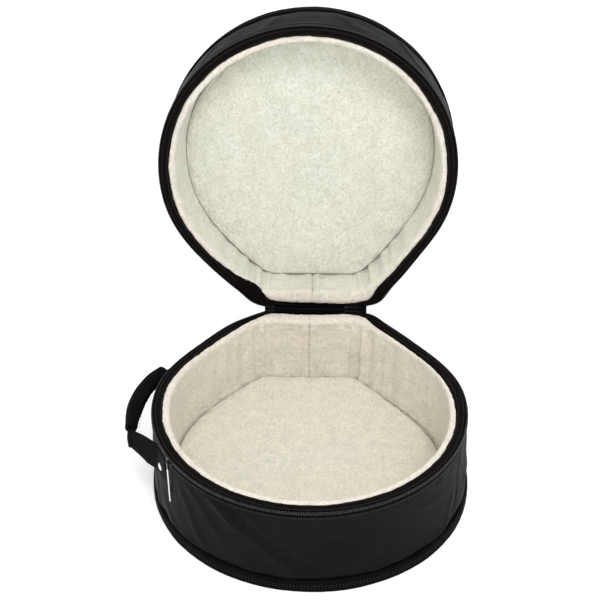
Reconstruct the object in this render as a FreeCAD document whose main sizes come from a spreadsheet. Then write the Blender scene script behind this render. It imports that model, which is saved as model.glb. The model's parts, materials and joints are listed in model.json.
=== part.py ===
import FreeCAD, Part
import math
import os
import Sketcher

from FreeCAD import Placement, Rotation, Vector

# Round padded instrument case: a deep base and a shallow lid, both walled in fabric, foam and fleece,
# joined by a fabric hinge at the back and a coil zip round the rest of the rim, with a carry handle at
# the left. Millimetres; +Z up, front at -Y, hinge at +Y. The origin is the centre of the round front
# on the resting plane, and the lid stands open.

# The outline seen from above: a round front, two long flanks, two corners and a flat hinge side.
DRIVING = {
    "mainRadius": 209,
    "flankRadius": 430,
    "cornerRadius": 60,
    "cornerOffset": 55,
    "hingeSide": 216,
    "baseHeight": 128,
    "lidHeight": 80,
    "openAngle": 92.5,
    # Wall layers, from the outside in.
    "layerGap": 0.1,
    "fabricThickness": 1.4,
    "tapeThickness": 0.8,
    "foamInset": 2.5,
    "foamThickness": 11.5,
    "fleeceThickness": 11.9,
    # Floor layers, from the resting face up.
    "bindingThickness": 1.2,
    "panelThickness": 1.1,
    "floorFoamThickness": 8,
    "floorFleeceThickness": 6.4,
    # Edge binding round the closed end of each shell.
    "bindingReach": 4.5,
    "bindingHeight": 17,
    "bindingFold": 10,
    "grooveHeight": 1.2,
    "grooveDepth": 0.7,
    # Depths below the rim plane where the rim layers start and stop.
    "skinDrop": 7.5,
    "tapeDrop": 0.6,
    "tapeHeight": 14.4,
    "foamDrop": 2.6,
    "facingDrop": 1.2,
    "fleeceDrop": 1.2,
    "fleeceRounding": 4.5,
    # Zip.
    "coilReach": 1.2,
    "coilWidth": 2.6,
    "coilDrop": 0.2,
    "coilHeight": 5.3,
    "zipGap": 56,
    "stopLength": 3.6,
    "sliderAngle": 212.5,
    "sliderLength": 16,
    "sliderClearance": 0.2,
    "sliderPlate": 1.2,
    "plateDrop": 0.65,
    "postGap": 0.4,
    "postWidth": 1.2,
    "bridgeReach": 3.4,
    "bridgeDrop": 1.3,
    "bridgeRadius": 0.8,
    "eyeClearance": 0.3,
    "eyeWall": 0.8,
    "pullLength": 69,
    "pullWidth": 3.4,
    "pullThickness": 2,
    # Fabric hinge.
    "hingeWidth": 100,
    "hingeLeg": 30,
    "hingeThickness": 1,
    "hingeReach": 2.5,
    # Handle: two ends riveted to the wall and a padded grip bowed between them.
    "rearAngle": 153.5,
    "frontAngle": 197.5,
    "rivetRear": 148,
    "rivetFront": 203,
    "rivetDrop": 41,
    "patchDrop": 36,
    "mountReach": 2.9,
    "mountDrop": 26,
    "handleLift": 28,
    "bowRadius": 215,
    "bowAlong": 50,
    "bowInward": 174,
    "gripRear": 62.3,
    "gripFront": 99.5,
    "strapOverhang": 2.5,
    "gripRadius": 10.5,
    "gripBore": 5.7,
    "strapHeight": 10,
    "strapThickness": 3.2,
    "endHeight": 48,
    "endTipHeight": 26,
    "endThickness": 2.2,
    "endHalfAngle": 5.8,
    "endFrontLength": 27,
    "endFrontBearing": 166,
    "endFrontRise": 15,
    "endRearLength": 6,
    "endRearBearing": 175.5,
    "endRearRise": 13,
    "rivetHead": 6,
    "rivetCrown": 2.2,
    "rivetShank": 1.8,
    "rivetTail": 3.2,
    "rivetTailHeight": 1.2,
    "rivetHole": 2.1,
    "rivetPlay": 0.2,
    "washerThickness": 1,
    "recessRadius": 7.5,
    "recessDepth": 5,
}

# Sizes worked out from the driving ones.
DERIVED = {
    "skinOuter": "0",
    "skinInner": "fabricThickness",
    "tapeOuter": "skinInner + layerGap",
    "tapeInner": "tapeOuter + tapeThickness",
    "foamInner": "foamInset + foamThickness",
    "fleeceOuter": "foamInner + layerGap",
    "fleeceInner": "fleeceOuter + fleeceThickness",
    "floorInset": "fleeceInner + layerGap",
    "bindingOuter": "0 - bindingReach",
    "bindingInner": "0 - layerGap",
    "grooveOuter": "bindingOuter - layerGap",
    "grooveInner": "bindingOuter + grooveDepth",
    "panelInset": "bindingFold + layerGap",
    "coilOuter": "0 - coilReach",
    "coilInner": "coilOuter + coilWidth",
    "wrapTop": "bindingThickness",
    "panelStep": "wrapTop + layerGap",
    "panelTop": "panelStep + panelThickness",
    "foamBottom": "panelTop + layerGap",
    "foamTop": "foamBottom + floorFoamThickness",
    "fleeceBottom": "foamTop + layerGap",
    "floorTop": "fleeceBottom + floorFleeceThickness",
    "grooveLow": "bindingHeight / 2 - grooveHeight / 2",
    "axisBack": "hingeSide + hingeReach",
    "mountHeight": "baseHeight - mountDrop",
    "rivetHeight": "baseHeight - rivetDrop",
    "patchHeight": "baseHeight - patchDrop",
    "mountRadius": "mainRadius + mountReach",
    "rivetSpan": "rivetFront - rivetRear",
    "handleBearing": "(frontAngle + rearAngle) / 2 - 90",
    "endInnerRadius": "mountRadius - endThickness",
    "washerFace": "mainRadius - foamInset - washerThickness - layerGap",
    "tailFace": "washerFace - rivetPlay",
    "sliderFace": "mainRadius + coilReach + sliderClearance",
    "bridgeCentre": "sliderFace + bridgeReach",
    "bridgeHeight": "baseHeight - coilDrop - coilHeight / 2 - bridgeDrop",
    "eyeBore": "bridgeRadius + eyeClearance",
    "eyeRadius": "eyeBore + eyeWall",
}


def fill_sheet(doc):
    """Writes the driving sizes as numbers and the derived ones as formulas, each with its alias."""
    sheet = doc.addObject("Spreadsheet::Sheet", "Sizes")
    rows = [(name, str(value)) for name, value in DRIVING.items()]
    rows += [(name, "=" + formula) for name, formula in DERIVED.items()]
    for row, (name, content) in enumerate(rows, start=1):
        sheet.set(f"A{row}", name)
        sheet.set(f"B{row}", content)
        sheet.setAlias(f"B{row}", name)
    doc.recompute()
    return sheet


class Case:
    """The document, its sheet and the named bodies made in it."""

    def __init__(self):
        self.doc = FreeCAD.newDocument("padded_case")
        self.sheet = fill_sheet(self.doc)
        self.bodies = []

    def size(self, text):
        """The number a sum of sheet names and plain numbers comes to."""
        return float(self.sheet.evalExpression(cell(text)))

    def body(self, label, several=False):
        made = self.doc.addObject("PartDesign::Body", label)
        made.Label = label
        made.AllowCompound = several
        self.bodies.append(made)
        return made


def cell(text):
    """Turns 'baseHeight - skinDrop' into an expression on the sheet."""
    words = text.split()
    return " ".join("Sizes." + word if word[0].isalpha() and word[-1] != "(" else word for word in words)


def origin_part(body, role):
    """One of the body's own origin planes or axes."""
    return [feature for feature in body.Origin.OriginFeatures if feature.Role == role][0]


def new_sketch(body, name, plane="XY_Plane", height=None, bearing=None, reach=None):
    """A sketch on an origin plane. height lifts it along +Z, bearing turns it about +Z, and reach moves
    it outward along its own normal."""
    sketch = body.newObject("Sketcher::SketchObject", f"{body.Name}_{name}")
    sketch.AttachmentSupport = [(origin_part(body, plane), "")]
    sketch.MapMode = "FlatFace"
    if bearing:
        sketch.AttachmentOffset = Placement(Vector(), Rotation(Vector(0, 1, 0), 1))
        sketch.setExpression("AttachmentOffset.Rotation.Angle", cell(bearing))
    if height:
        upward = "z" if plane == "XY_Plane" else "y"
        sketch.setExpression(f"AttachmentOffset.Base.{upward}", cell(height))
    if reach:
        for letter, direction in zip("xz", outward(bearing)):
            sketch.setExpression(f"AttachmentOffset.Base.{letter}", f"({cell(reach)}) * {direction}")
    return sketch


def outward(bearing):
    """The x and z shares of a step along the normal of an upright plane turned to a bearing."""
    if not bearing:
        return "0", "1"
    return f"sin({cell(bearing)})", f"cos({cell(bearing)})"


def bind(case, sketch, kind, geometry, text):
    """Adds a dimension to the sketch and binds it to the sheet."""
    index = sketch.addConstraint(Sketcher.Constraint(kind, *geometry, case.size(text)))
    sketch.setExpression(f"Constraints[{index}]", cell(text))


def pad(body, sketch, length, inward=False, midplane=False):
    made = body.newObject("PartDesign::Pad", f"{sketch.Name}_pad")
    made.Profile = sketch
    made.setExpression("Length", cell(length))
    made.Reversed = inward
    made.Midplane = midplane
    return made


def pocket(body, sketch, length, along=True):
    """Cuts along the sketch's normal, or against it."""
    made = body.newObject("PartDesign::Pocket", f"{sketch.Name}_pocket")
    made.Profile = sketch
    made.setExpression("Length", cell(length))
    made.Reversed = along
    return made


def revolve(body, sketch, axis, sweep=None):
    made = body.newObject("PartDesign::Revolution", f"{sketch.Name}_turned")
    made.Profile = sketch
    made.ReferenceAxis = (sketch, [axis])
    made.Angle = 360
    if sweep:
        made.setExpression("Angle", cell(sweep))
    return made


def again_about_z(body, features, turn):
    """Repeats features once more, turned about +Z."""
    made = body.newObject("PartDesign::PolarPattern", f"{body.Name}_second")
    made.Originals = features
    made.Axis = (origin_part(body, "Z_Axis"), [""])
    made.Mode = 1
    made.Occurrences = 2
    made.setExpression("Offset", cell(turn))
    body.Tip = made


def round_edges(case, body, heights, radius):
    """Fillets every edge that lies flat at one of the given heights."""
    case.doc.recompute()
    levels = [case.size(text) for text in heights]
    base = body.Tip
    names = []
    for index, edge in enumerate(base.Shape.Edges, start=1):
        box = edge.BoundBox
        flat = box.ZLength < 1e-4
        if flat and any(abs(box.ZMin - level) < 1e-4 for level in levels):
            names.append(f"Edge{index}")
    made = body.newObject("PartDesign::Fillet", f"{body.Name}_rounding")
    made.Base = (base, names)
    made.setExpression("Radius", cell(radius))


def flank_centre(case):
    """Centre of the right-hand flank arc, which holds the main arc and the corner arc inside it."""
    main = case.size("mainRadius")
    flank = case.size("flankRadius")
    corner = case.size("cornerRadius")
    centre = Vector(case.size("cornerOffset"), case.size("hingeSide - cornerRadius"), 0)
    apart = centre.Length
    toward = centre / apart
    along = ((flank - main) ** 2 + apart**2 - (flank - corner) ** 2) / (2 * apart)
    aside = math.sqrt((flank - main) ** 2 - along**2)
    return toward * along + Vector(-toward.y, toward.x, 0) * aside


def outline(case, sketch, inset):
    """One closed outline, inset from the outer face by the named size: six tangent curves."""
    depth = case.size(inset)
    offset = case.size("cornerOffset")
    corner_y = case.size("hingeSide - cornerRadius")
    back = case.size("hingeSide") - depth
    bulge = flank_centre(case)
    first = math.atan2(-bulge.y, -bulge.x)
    second = math.atan2(corner_y - bulge.y, offset - bulge.x)

    def arc(centre, radius, start, end):
        circle = Part.Circle(centre, Vector(0, 0, 1), case.size(radius) - depth)
        return sketch.addGeometry(Part.ArcOfCircle(circle, start, end))

    front_arc = arc(Vector(), "mainRadius", math.pi - first, 2 * math.pi + first)
    right_flank = arc(bulge, "flankRadius", first, second)
    right_corner = arc(Vector(offset, corner_y, 0), "cornerRadius", second, math.pi / 2)
    hinge_line = sketch.addGeometry(Part.LineSegment(Vector(offset, back, 0), Vector(-offset, back, 0)))
    left_corner = arc(Vector(-offset, corner_y, 0), "cornerRadius", math.pi / 2, math.pi - second)
    left_flank = arc(Vector(-bulge.x, bulge.y, 0), "flankRadius", math.pi - second, math.pi - first)
    loop = [front_arc, right_flank, right_corner, hinge_line, left_corner, left_flank]
    for edge, following in zip(loop, loop[1:] + loop[:1]):
        sketch.addConstraint(Sketcher.Constraint("Tangent", edge, 2, following, 1))
    sketch.addConstraint(Sketcher.Constraint("Coincident", front_arc, 3, -1, 1))
    bind(case, sketch, "Radius", [front_arc], f"mainRadius - ( {inset} )")
    for flank in (right_flank, left_flank):
        bind(case, sketch, "Radius", [flank], f"flankRadius - ( {inset} )")
    for corner, across in ((right_corner, "cornerOffset"), (left_corner, "0 - cornerOffset")):
        bind(case, sketch, "DistanceX", [-1, 1, corner, 3], across)
        bind(case, sketch, "DistanceY", [-1, 1, corner, 3], "hingeSide - cornerRadius")
        bind(case, sketch, "Radius", [corner], f"cornerRadius - ( {inset} )")


def chain(case, sketch, corners):
    """Straight edges joining the corners in order; each corner is a pair of sizes."""
    points = [Vector(case.size(across), case.size(up), 0) for across, up in corners]
    edges = []
    for start, end in zip(points, points[1:]):
        edges.append(sketch.addGeometry(Part.LineSegment(start, end)))
    for edge, following in zip(edges, edges[1:]):
        sketch.addConstraint(Sketcher.Constraint("Coincident", edge, 2, following, 1))
    for edge, (across, up) in zip(edges, corners):
        bind(case, sketch, "DistanceX", [-1, 1, edge, 1], across)
        bind(case, sketch, "DistanceY", [-1, 1, edge, 1], up)
    return edges


def polygon(case, sketch, corners):
    """A closed straight-sided outline."""
    edges = chain(case, sketch, corners + corners[:1])
    sketch.addConstraint(Sketcher.Constraint("Coincident", edges[-1], 2, edges[0], 1))


def rectangle(case, sketch, left, right, low, high):
    polygon(case, sketch, [(left, low), (right, low), (right, high), (left, high)])


def circle(case, sketch, radius, across="0", up="0"):
    """A circle on the sketch's origin or at a bound place."""
    middle = Vector(case.size(across), case.size(up), 0)
    edge = sketch.addGeometry(Part.Circle(middle, Vector(0, 0, 1), case.size(radius)))
    bind(case, sketch, "DistanceX", [-1, 1, edge, 3], across)
    bind(case, sketch, "DistanceY", [-1, 1, edge, 3], up)
    bind(case, sketch, "Radius", [edge], radius)


def layer(case, body, name, outer, inner, bottom, top):
    """Pads a ring between two insets, or a full disc when inner is None, from bottom to top."""
    sketch = new_sketch(body, name, height=bottom)
    outline(case, sketch, outer)
    if inner:
        outline(case, sketch, inner)
    return pad(body, sketch, f"{top} - ( {bottom} )")


def open_at_hinge(case, body, half_width):
    """Cuts the stretch along the hinge out of a ring."""
    sketch = new_sketch(body, "hinge_gap")
    rectangle(case, sketch, f"0 - {half_width}", half_width, "hingeSide / 2", "hingeSide + cornerRadius")
    pocket(body, sketch, "baseHeight", along=True)


def side_panel(case, shell):
    """Outer fabric wall, stopping short of the rim to leave the zip free."""
    body = case.body(f"{shell}_side_panel")
    layer(case, body, "wall", "skinOuter", "skinInner", "foamBottom", f"{shell}Height - skinDrop")
    return body


def end_panel(case, shell, name):
    """Outer fabric over the closed end: flush with the binding's fold and clamped above it."""
    body = case.body(f"{shell}_{name}_panel")
    layer(case, body, "face", "panelInset", None, "0", "panelStep")
    layer(case, body, "flange", "skinOuter", None, "panelStep", "panelTop")
    return body


def side_foam(case, shell):
    body = case.body(f"{shell}_side_foam")
    layer(case, body, "wall", "foamInset", "foamInner", "foamBottom", f"{shell}Height - foamDrop")
    return body


def end_foam(case, shell, name):
    body = case.body(f"{shell}_{name}_foam")
    layer(case, body, "pad", "foamInner + layerGap", None, "foamBottom", "foamTop")
    return body


def side_fleece(case, shell):
    """Fleece wall with a rounded top."""
    body = case.body(f"{shell}_side_fleece")
    top = f"{shell}Height - fleeceDrop"
    layer(case, body, "wall", "fleeceOuter", "fleeceInner", "fleeceBottom", top)
    round_edges(case, body, [top], "fleeceRounding")
    return body


def end_fleece(case, shell, name):
    body = case.body(f"{shell}_{name}_fleece")
    layer(case, body, "pad", "floorInset", None, "fleeceBottom", "floorTop")
    return body


def edge_binding(case, shell):
    """Tape bound over the seam round the closed end, with a stitched groove round its middle."""
    body = case.body(f"{shell}_edge_binding")
    layer(case, body, "fold", "bindingOuter", "bindingFold", "0", "wrapTop")
    layer(case, body, "band", "bindingOuter", "bindingInner", "0", "bindingHeight")
    groove = new_sketch(body, "groove", height="grooveLow")
    outline(case, groove, "grooveOuter")
    outline(case, groove, "grooveInner")
    pocket(body, groove, "grooveHeight", along=True)
    return body


def rim_facing(case, shell):
    """Flat black tape over the top of the foam, between the zip and the fleece."""
    body = case.body(f"{shell}_rim_facing")
    bottom = f"{shell}Height - foamDrop + layerGap"
    layer(case, body, "band", "foamInset", "foamInner", bottom, f"{shell}Height - facingDrop")
    return body


def zip_tape(case, shell):
    body = case.body(f"{shell}_zip_tape")
    top = f"{shell}Height - tapeDrop"
    layer(case, body, "tape", "tapeOuter", "tapeInner", f"{top} - tapeHeight", top)
    open_at_hinge(case, body, "zipGap")
    return body


def zip_coil(case, shell):
    """Envelope of the coil along the outer edge of the rim."""
    body = case.body(f"{shell}_zip_coil")
    top = f"{shell}Height - coilDrop"
    layer(case, body, "coil", "coilOuter", "coilInner", f"{top} - coilHeight", top)
    open_at_hinge(case, body, "zipGap")
    return body


def zip_stops(case, shell):
    """A stop at each end of the coil, either side of the hinge."""
    body = case.body(f"{shell}_zip_stops", several=True)
    low = f"{shell}Height - coilDrop - coilHeight"
    sketch = new_sketch(body, "block", height=low)
    right = "zipGap - layerGap - layerGap"
    back = "hingeSide + coilReach"
    rectangle(case, sketch, f"{right} - stopLength", right, f"{back} - coilWidth", back)
    block = pad(body, sketch, "coilHeight")
    mirrored = body.newObject("PartDesign::Mirrored", f"{body.Name}_pair")
    mirrored.Originals = [block]
    mirrored.MirrorPlane = (origin_part(body, "YZ_Plane"), [""])
    body.Tip = mirrored
    return body


def hinge_section(case, body, name, turned):
    """The strip's cross-section beside the hinge axis, in the rim plane or turned onto the lid's."""
    sketch = new_sketch(body, name)
    sketch.AttachmentOffset = Placement(Vector(), Rotation(Vector(1, 0, 0), 1 if turned else 0))
    sketch.setExpression("AttachmentOffset.Base.y", cell("axisBack"))
    sketch.setExpression("AttachmentOffset.Base.z", cell("baseHeight"))
    if turned:
        sketch.setExpression("AttachmentOffset.Rotation.Angle", cell("360 - openAngle"))
    near = "layerGap - hingeReach"
    half = "hingeWidth / 2"
    rectangle(case, sketch, f"0 - {half}", half, near, f"{near} + hingeThickness")
    return sketch


def hinge_panel(case):
    """Fabric strip sewn down both back walls, with a bend round the hinge axis between them."""
    body = case.body("hinge_panel")
    pad(body, hinge_section(case, body, "base_leg", turned=False), "hingeLeg", inward=True)
    bend = revolve(body, hinge_section(case, body, "bend", turned=False), "H_Axis", "openAngle")
    bend.Reversed = True
    pad(body, hinge_section(case, body, "lid_leg", turned=True), "hingeLeg")


def rivet_holes(case, panel, foam):
    """Two holes through the fabric wall, and a round recess in the foam behind each."""
    hole = new_sketch(panel, "rivet_hole", "YZ_Plane", "rivetHeight", "rivetRear")
    circle(case, hole, "rivetHole")
    again_about_z(panel, [pocket(panel, hole, "mountRadius", along=True)], "rivetSpan")
    depth = "mainRadius - foamInset - recessDepth"
    recess = new_sketch(foam, "rivet_recess", "YZ_Plane", "rivetHeight", "rivetRear", depth)
    circle(case, recess, "recessRadius")
    again_about_z(foam, [pocket(foam, recess, "foamThickness", along=True)], "rivetSpan")


def handle_rivets(case):
    """Two domed rivets, each with its head outside the handle end and its tail inside the foam."""
    body = case.body("handle_rivets", several=True)
    sketch = new_sketch(body, "profile", "XZ_Plane", "rivetHeight", "rivetRear")
    head = "mountRadius + layerGap"
    tail_end = "tailFace - rivetTailHeight"
    corners = [
        (f"{head} + rivetCrown", "0"),
        (tail_end, "0"),
        (tail_end, "rivetTail"),
        ("tailFace", "rivetTail"),
        ("tailFace", "rivetShank"),
        (head, "rivetShank"),
        (head, "rivetHead"),
    ]
    edges = chain(case, sketch, corners)
    dome_radius = case.size("( rivetHead * rivetHead + rivetCrown * rivetCrown ) / ( rivetCrown * 2 )")
    middle = Vector(case.size(f"{head} + rivetCrown") - dome_radius, 0, 0)
    sweep = math.asin(case.size("rivetHead") / dome_radius)
    dome_circle = Part.Circle(middle, Vector(0, 0, 1), dome_radius)
    dome = sketch.addGeometry(Part.ArcOfCircle(dome_circle, 0, sweep))
    sketch.addConstraint(Sketcher.Constraint("Coincident", dome, 1, edges[0], 1))
    sketch.addConstraint(Sketcher.Constraint("Coincident", dome, 2, edges[-1], 2))
    sketch.addConstraint(Sketcher.Constraint("PointOnObject", dome, 3, -1))
    bind(case, sketch, "DistanceX", [-1, 1, edges[-1], 2], head)
    bind(case, sketch, "DistanceY", [-1, 1, edges[-1], 2], "rivetHead")
    again_about_z(body, [revolve(body, sketch, "H_Axis")], "rivetSpan")


def rivet_washers(case):
    body = case.body("rivet_washers", several=True)
    sketch = new_sketch(body, "ring", "YZ_Plane", "rivetHeight", "rivetRear", "washerFace")
    circle(case, sketch, "rivetHead")
    circle(case, sketch, "rivetHole")
    again_about_z(body, [pad(body, sketch, "washerThickness")], "rivetSpan")


def handle_placement(case, lifted):
    """The handle frame's place: X runs from the front mount to the rear one, Y points outward."""
    front = math.radians(case.size("frontAngle"))
    radius = case.size("mountRadius")
    corner = Vector(radius * math.cos(front), radius * math.sin(front), case.size("mountHeight"))
    along = Rotation(Vector(0, 0, 1), case.size("handleBearing"))
    lift = Rotation(Vector(1, 0, 0), case.size("handleLift") if lifted else 0)
    return Placement(corner, along.multiply(lift))


def bowed(case, name, rear, front, draw):
    """A body swept along the handle's bow by turning a section about the bow's centre."""
    body = case.body(name)
    sketch = new_sketch(body, "section", "XZ_Plane", bearing=rear)
    draw(case, sketch)
    revolve(body, sketch, "V_Axis", f"{front} - ( {rear} )")
    centre = Placement(Vector(case.size("bowAlong"), -case.size("bowInward"), 0), Rotation())
    body.Placement = handle_placement(case, lifted=True).multiply(centre)


def grip_section(case, sketch):
    circle(case, sketch, "gripRadius", "bowRadius")
    circle(case, sketch, "gripBore", "bowRadius")


def strap_section(case, sketch):
    half = "strapThickness / 2"
    tall = "strapHeight / 2"
    rectangle(case, sketch, f"bowRadius - {half}", f"bowRadius + {half}", f"0 - {tall}", tall)


def handle_end(case, side, fold, rivet, bearing, length, rise):
    """Flat webbing end: a patch on the wall under the rivet, and a tongue that reaches to the grip."""
    body = case.body(f"handle_end_{side}")
    patch = new_sketch(body, "patch", "XZ_Plane", "patchHeight", f"{rivet} - endHalfAngle")
    tall = "endHeight / 2"
    rectangle(case, patch, "endInnerRadius", "mountRadius", f"0 - {tall}", tall)
    revolve(body, patch, "V_Axis", "endHalfAngle * 2")
    tongue = new_sketch(body, "tongue", "XZ_Plane", "patchHeight", bearing)
    tongue.setExpression("AttachmentOffset.Base.x", cell(f"mountRadius * cos( {fold} )"))
    tongue.setExpression("AttachmentOffset.Base.z", cell(f"0 - mountRadius * sin( {fold} )"))
    tip = "endTipHeight / 2"
    root = "0 - endThickness / 2"
    corners = [
        (root, f"0 - {tall}"),
        (length, f"{rise} - {tip}"),
        (length, f"{rise} + {tip}"),
        (root, tall),
    ]
    polygon(case, tongue, corners)
    pad(body, tongue, "endThickness", midplane=True)
    hole = new_sketch(body, "hole", "YZ_Plane", "rivetHeight", rivet)
    circle(case, hole, "rivetHole")
    pocket(body, hole, "mountRadius + endThickness", along=True)


def zip_slider(case):
    """Slider on the base's coil: a plate outside the coil, a lip under it and a bridge for the pull."""
    body = case.body("zip_slider")
    reach = "sliderFace"
    half = "sliderLength / 2"
    plate = new_sketch(body, "plate", "YZ_Plane", "baseHeight", "sliderAngle", reach)
    rectangle(case, plate, f"0 - {half}", half, "0 - skinDrop", "0 - plateDrop")
    pad(body, plate, "sliderPlate")
    lip = new_sketch(body, "lip", "YZ_Plane", "baseHeight", "sliderAngle", reach)
    lip_top = "0 - coilDrop - coilHeight - layerGap"
    rectangle(case, lip, f"0 - {half}", half, "layerGap - skinDrop", lip_top)
    pad(body, lip, "coilWidth", inward=True)
    for side, sign in (("left", "0 - "), ("right", "")):
        post = new_sketch(body, f"post_{side}", "YZ_Plane", "bridgeHeight", "sliderAngle", reach)
        near = f"{sign}( pullWidth / 2 + postGap )"
        far = f"{sign}( pullWidth / 2 + postGap + postWidth )"
        rectangle(case, post, near, far, "0 - bridgeRadius", "bridgeRadius")
        pad(body, post, "bridgeCentre - sliderFace + bridgeRadius")
    bar = new_sketch(body, "bridge", "XZ_Plane", "bridgeHeight", "sliderAngle")
    circle(case, bar, "bridgeRadius", "bridgeCentre")
    pad(body, bar, "pullWidth + postGap * 2 + postWidth", midplane=True)


def zip_pull(case):
    """Long flat pull hanging from the slider's bridge by its eye."""
    body = case.body("zip_pull")
    eye = new_sketch(body, "eye", "XZ_Plane", "bridgeHeight", "sliderAngle")
    circle(case, eye, "eyeRadius", "bridgeCentre")
    circle(case, eye, "eyeBore", "bridgeCentre")
    pad(body, eye, "pullWidth", midplane=True)
    bar = new_sketch(body, "bar", "XZ_Plane", "bridgeHeight", "sliderAngle")
    half = "pullThickness / 2"
    low = "0 - pullLength"
    rectangle(case, bar, f"bridgeCentre - {half}", f"bridgeCentre + {half}", low, "0 - eyeBore - eyeWall / 2")
    pad(body, bar, "pullWidth", midplane=True)


def lid_placement(case):
    """Turns a lid piece, drawn like the base, over onto the base and then back about the hinge."""
    over = Placement(Vector(0, 0, case.size("baseHeight + lidHeight")), Rotation(Vector(0, 1, 0), 180))
    axis = Vector(0, case.size("axisBack"), case.size("baseHeight"))
    back = Rotation(Vector(1, 0, 0), -case.size("openAngle"))
    return Placement(Vector(), back, axis).multiply(over)


def shell_pieces(case, shell, end_name, fleece_name):
    """Every layer of one shell, drawn closed end down."""
    return [
        side_panel(case, shell),
        end_panel(case, shell, end_name),
        side_foam(case, shell),
        end_foam(case, shell, end_name),
        side_fleece(case, shell),
        end_fleece(case, shell, fleece_name),
        edge_binding(case, shell),
        rim_facing(case, shell),
        zip_tape(case, shell),
        zip_coil(case, shell),
        zip_stops(case, shell),
    ]


def build():
    case = Case()
    base = shell_pieces(case, "base", "bottom", "floor")
    rivet_holes(case, base[0], base[2])
    for piece in shell_pieces(case, "lid", "top", "top"):
        piece.Placement = lid_placement(case)
    hinge_panel(case)
    bowed(case, "handle_grip", "gripRear", "gripFront", grip_section)
    bowed(case, "handle_strap", "gripRear - strapOverhang", "gripFront + strapOverhang", strap_section)
    handle_end(case, "front", "frontAngle", "rivetFront", "endFrontBearing", "endFrontLength", "endFrontRise")
    handle_end(case, "rear", "rearAngle", "rivetRear", "endRearBearing", "endRearLength", "endRearRise")
    handle_rivets(case)
    rivet_washers(case)
    zip_slider(case)
    zip_pull(case)
    return case


def check_and_write(case):
    """Every object must be up to date and every body one valid, closed shape before it is written."""
    case.doc.recompute()
    for item in case.doc.Objects:
        if "Invalid" in item.State or "Error" in item.State:
            raise RuntimeError(f"{item.Name}: {item.State}")
    os.makedirs("parts", exist_ok=True)
    for body in case.bodies:
        if body.Shape.isNull() or not body.Shape.isValid() or not body.Shape.Solids:
            raise RuntimeError(f"{body.Label} has no valid shape")
        body.Shape.exportStep(f"parts/{body.Label}.step")


check_and_write(build())
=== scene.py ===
"""Looks of the round padded instrument case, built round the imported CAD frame.

Every shell piece is swept round one outline: a round front, two long flanks, two corners and a flat
hinge side. Both shells are drawn in a rim frame, where Z is 0 on the rim plane and falls to minus the
shell's depth at its closed end, and are then carried to their place by the shell's matrix.
Lengths are metres; MM turns millimetres into metres.
"""
import bpy
import json
import math
import numpy as np
from mathutils import Matrix, Vector


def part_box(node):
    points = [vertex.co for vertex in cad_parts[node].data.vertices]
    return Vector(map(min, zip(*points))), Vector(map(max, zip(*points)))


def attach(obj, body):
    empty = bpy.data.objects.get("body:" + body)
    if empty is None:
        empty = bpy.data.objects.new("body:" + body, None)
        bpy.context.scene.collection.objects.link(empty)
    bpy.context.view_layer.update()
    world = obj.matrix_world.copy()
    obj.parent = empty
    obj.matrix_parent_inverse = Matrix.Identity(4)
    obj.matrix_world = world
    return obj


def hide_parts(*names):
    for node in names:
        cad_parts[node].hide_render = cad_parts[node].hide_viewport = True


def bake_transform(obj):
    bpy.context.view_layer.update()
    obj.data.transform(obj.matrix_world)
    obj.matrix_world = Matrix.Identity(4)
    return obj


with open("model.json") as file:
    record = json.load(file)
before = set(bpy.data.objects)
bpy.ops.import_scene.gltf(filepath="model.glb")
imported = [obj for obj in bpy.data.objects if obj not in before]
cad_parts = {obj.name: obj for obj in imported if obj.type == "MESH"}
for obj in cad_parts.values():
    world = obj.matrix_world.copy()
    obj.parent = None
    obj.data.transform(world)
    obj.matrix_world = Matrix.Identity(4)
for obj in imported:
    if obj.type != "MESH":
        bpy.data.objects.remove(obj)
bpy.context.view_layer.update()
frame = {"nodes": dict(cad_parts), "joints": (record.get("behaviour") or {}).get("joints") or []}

MM = 0.001
TAU = 2 * math.pi

# ---------------------------------------------------------------- sizes from the frame

HINGE = [j for j in frame["joints"] if j["name"] == "lid_hinge"][0]
HANDLE = [j for j in frame["joints"] if j["name"] == "handle_swing"][0]
CLOSED_ANGLE = math.radians(HINGE["range_deg"][1])
HINGE_POINT = Vector(HINGE["pos_m"])
BASE_HEIGHT = HINGE_POINT.z
MAIN_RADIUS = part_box("base_side_panel")[1].x
HINGE_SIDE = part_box("base_side_panel")[1].y
FLANK_RADIUS = 430 * MM
CORNER_RADIUS = 60 * MM
CORNER_OFFSET = 55 * MM
HINGE_CLOTH_LEFT = 66 * MM
HINGE_CLOTH_RIGHT = 84 * MM
ZIP_HALF_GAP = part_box("base_zip_stops")[1].x

# Insets of the layers from the outer face, as the CAD has them.
TAPE_INSET = MAIN_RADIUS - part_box("base_zip_tape")[1].x
FACING_INSET = MAIN_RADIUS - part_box("base_rim_facing")[1].x
PILE_INSET = 14 * MM
WELL_INSET = MAIN_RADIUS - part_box("base_floor_fleece")[1].x
BINDING_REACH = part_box("base_edge_binding")[1].x - MAIN_RADIUS
BINDING_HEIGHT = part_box("base_edge_binding")[1].z
FLOOR_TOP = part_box("base_floor_fleece")[1].z
PAD_THICKNESS = 6.4 * MM
SKIN_DROP = BASE_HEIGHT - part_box("base_side_panel")[1].z


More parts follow.
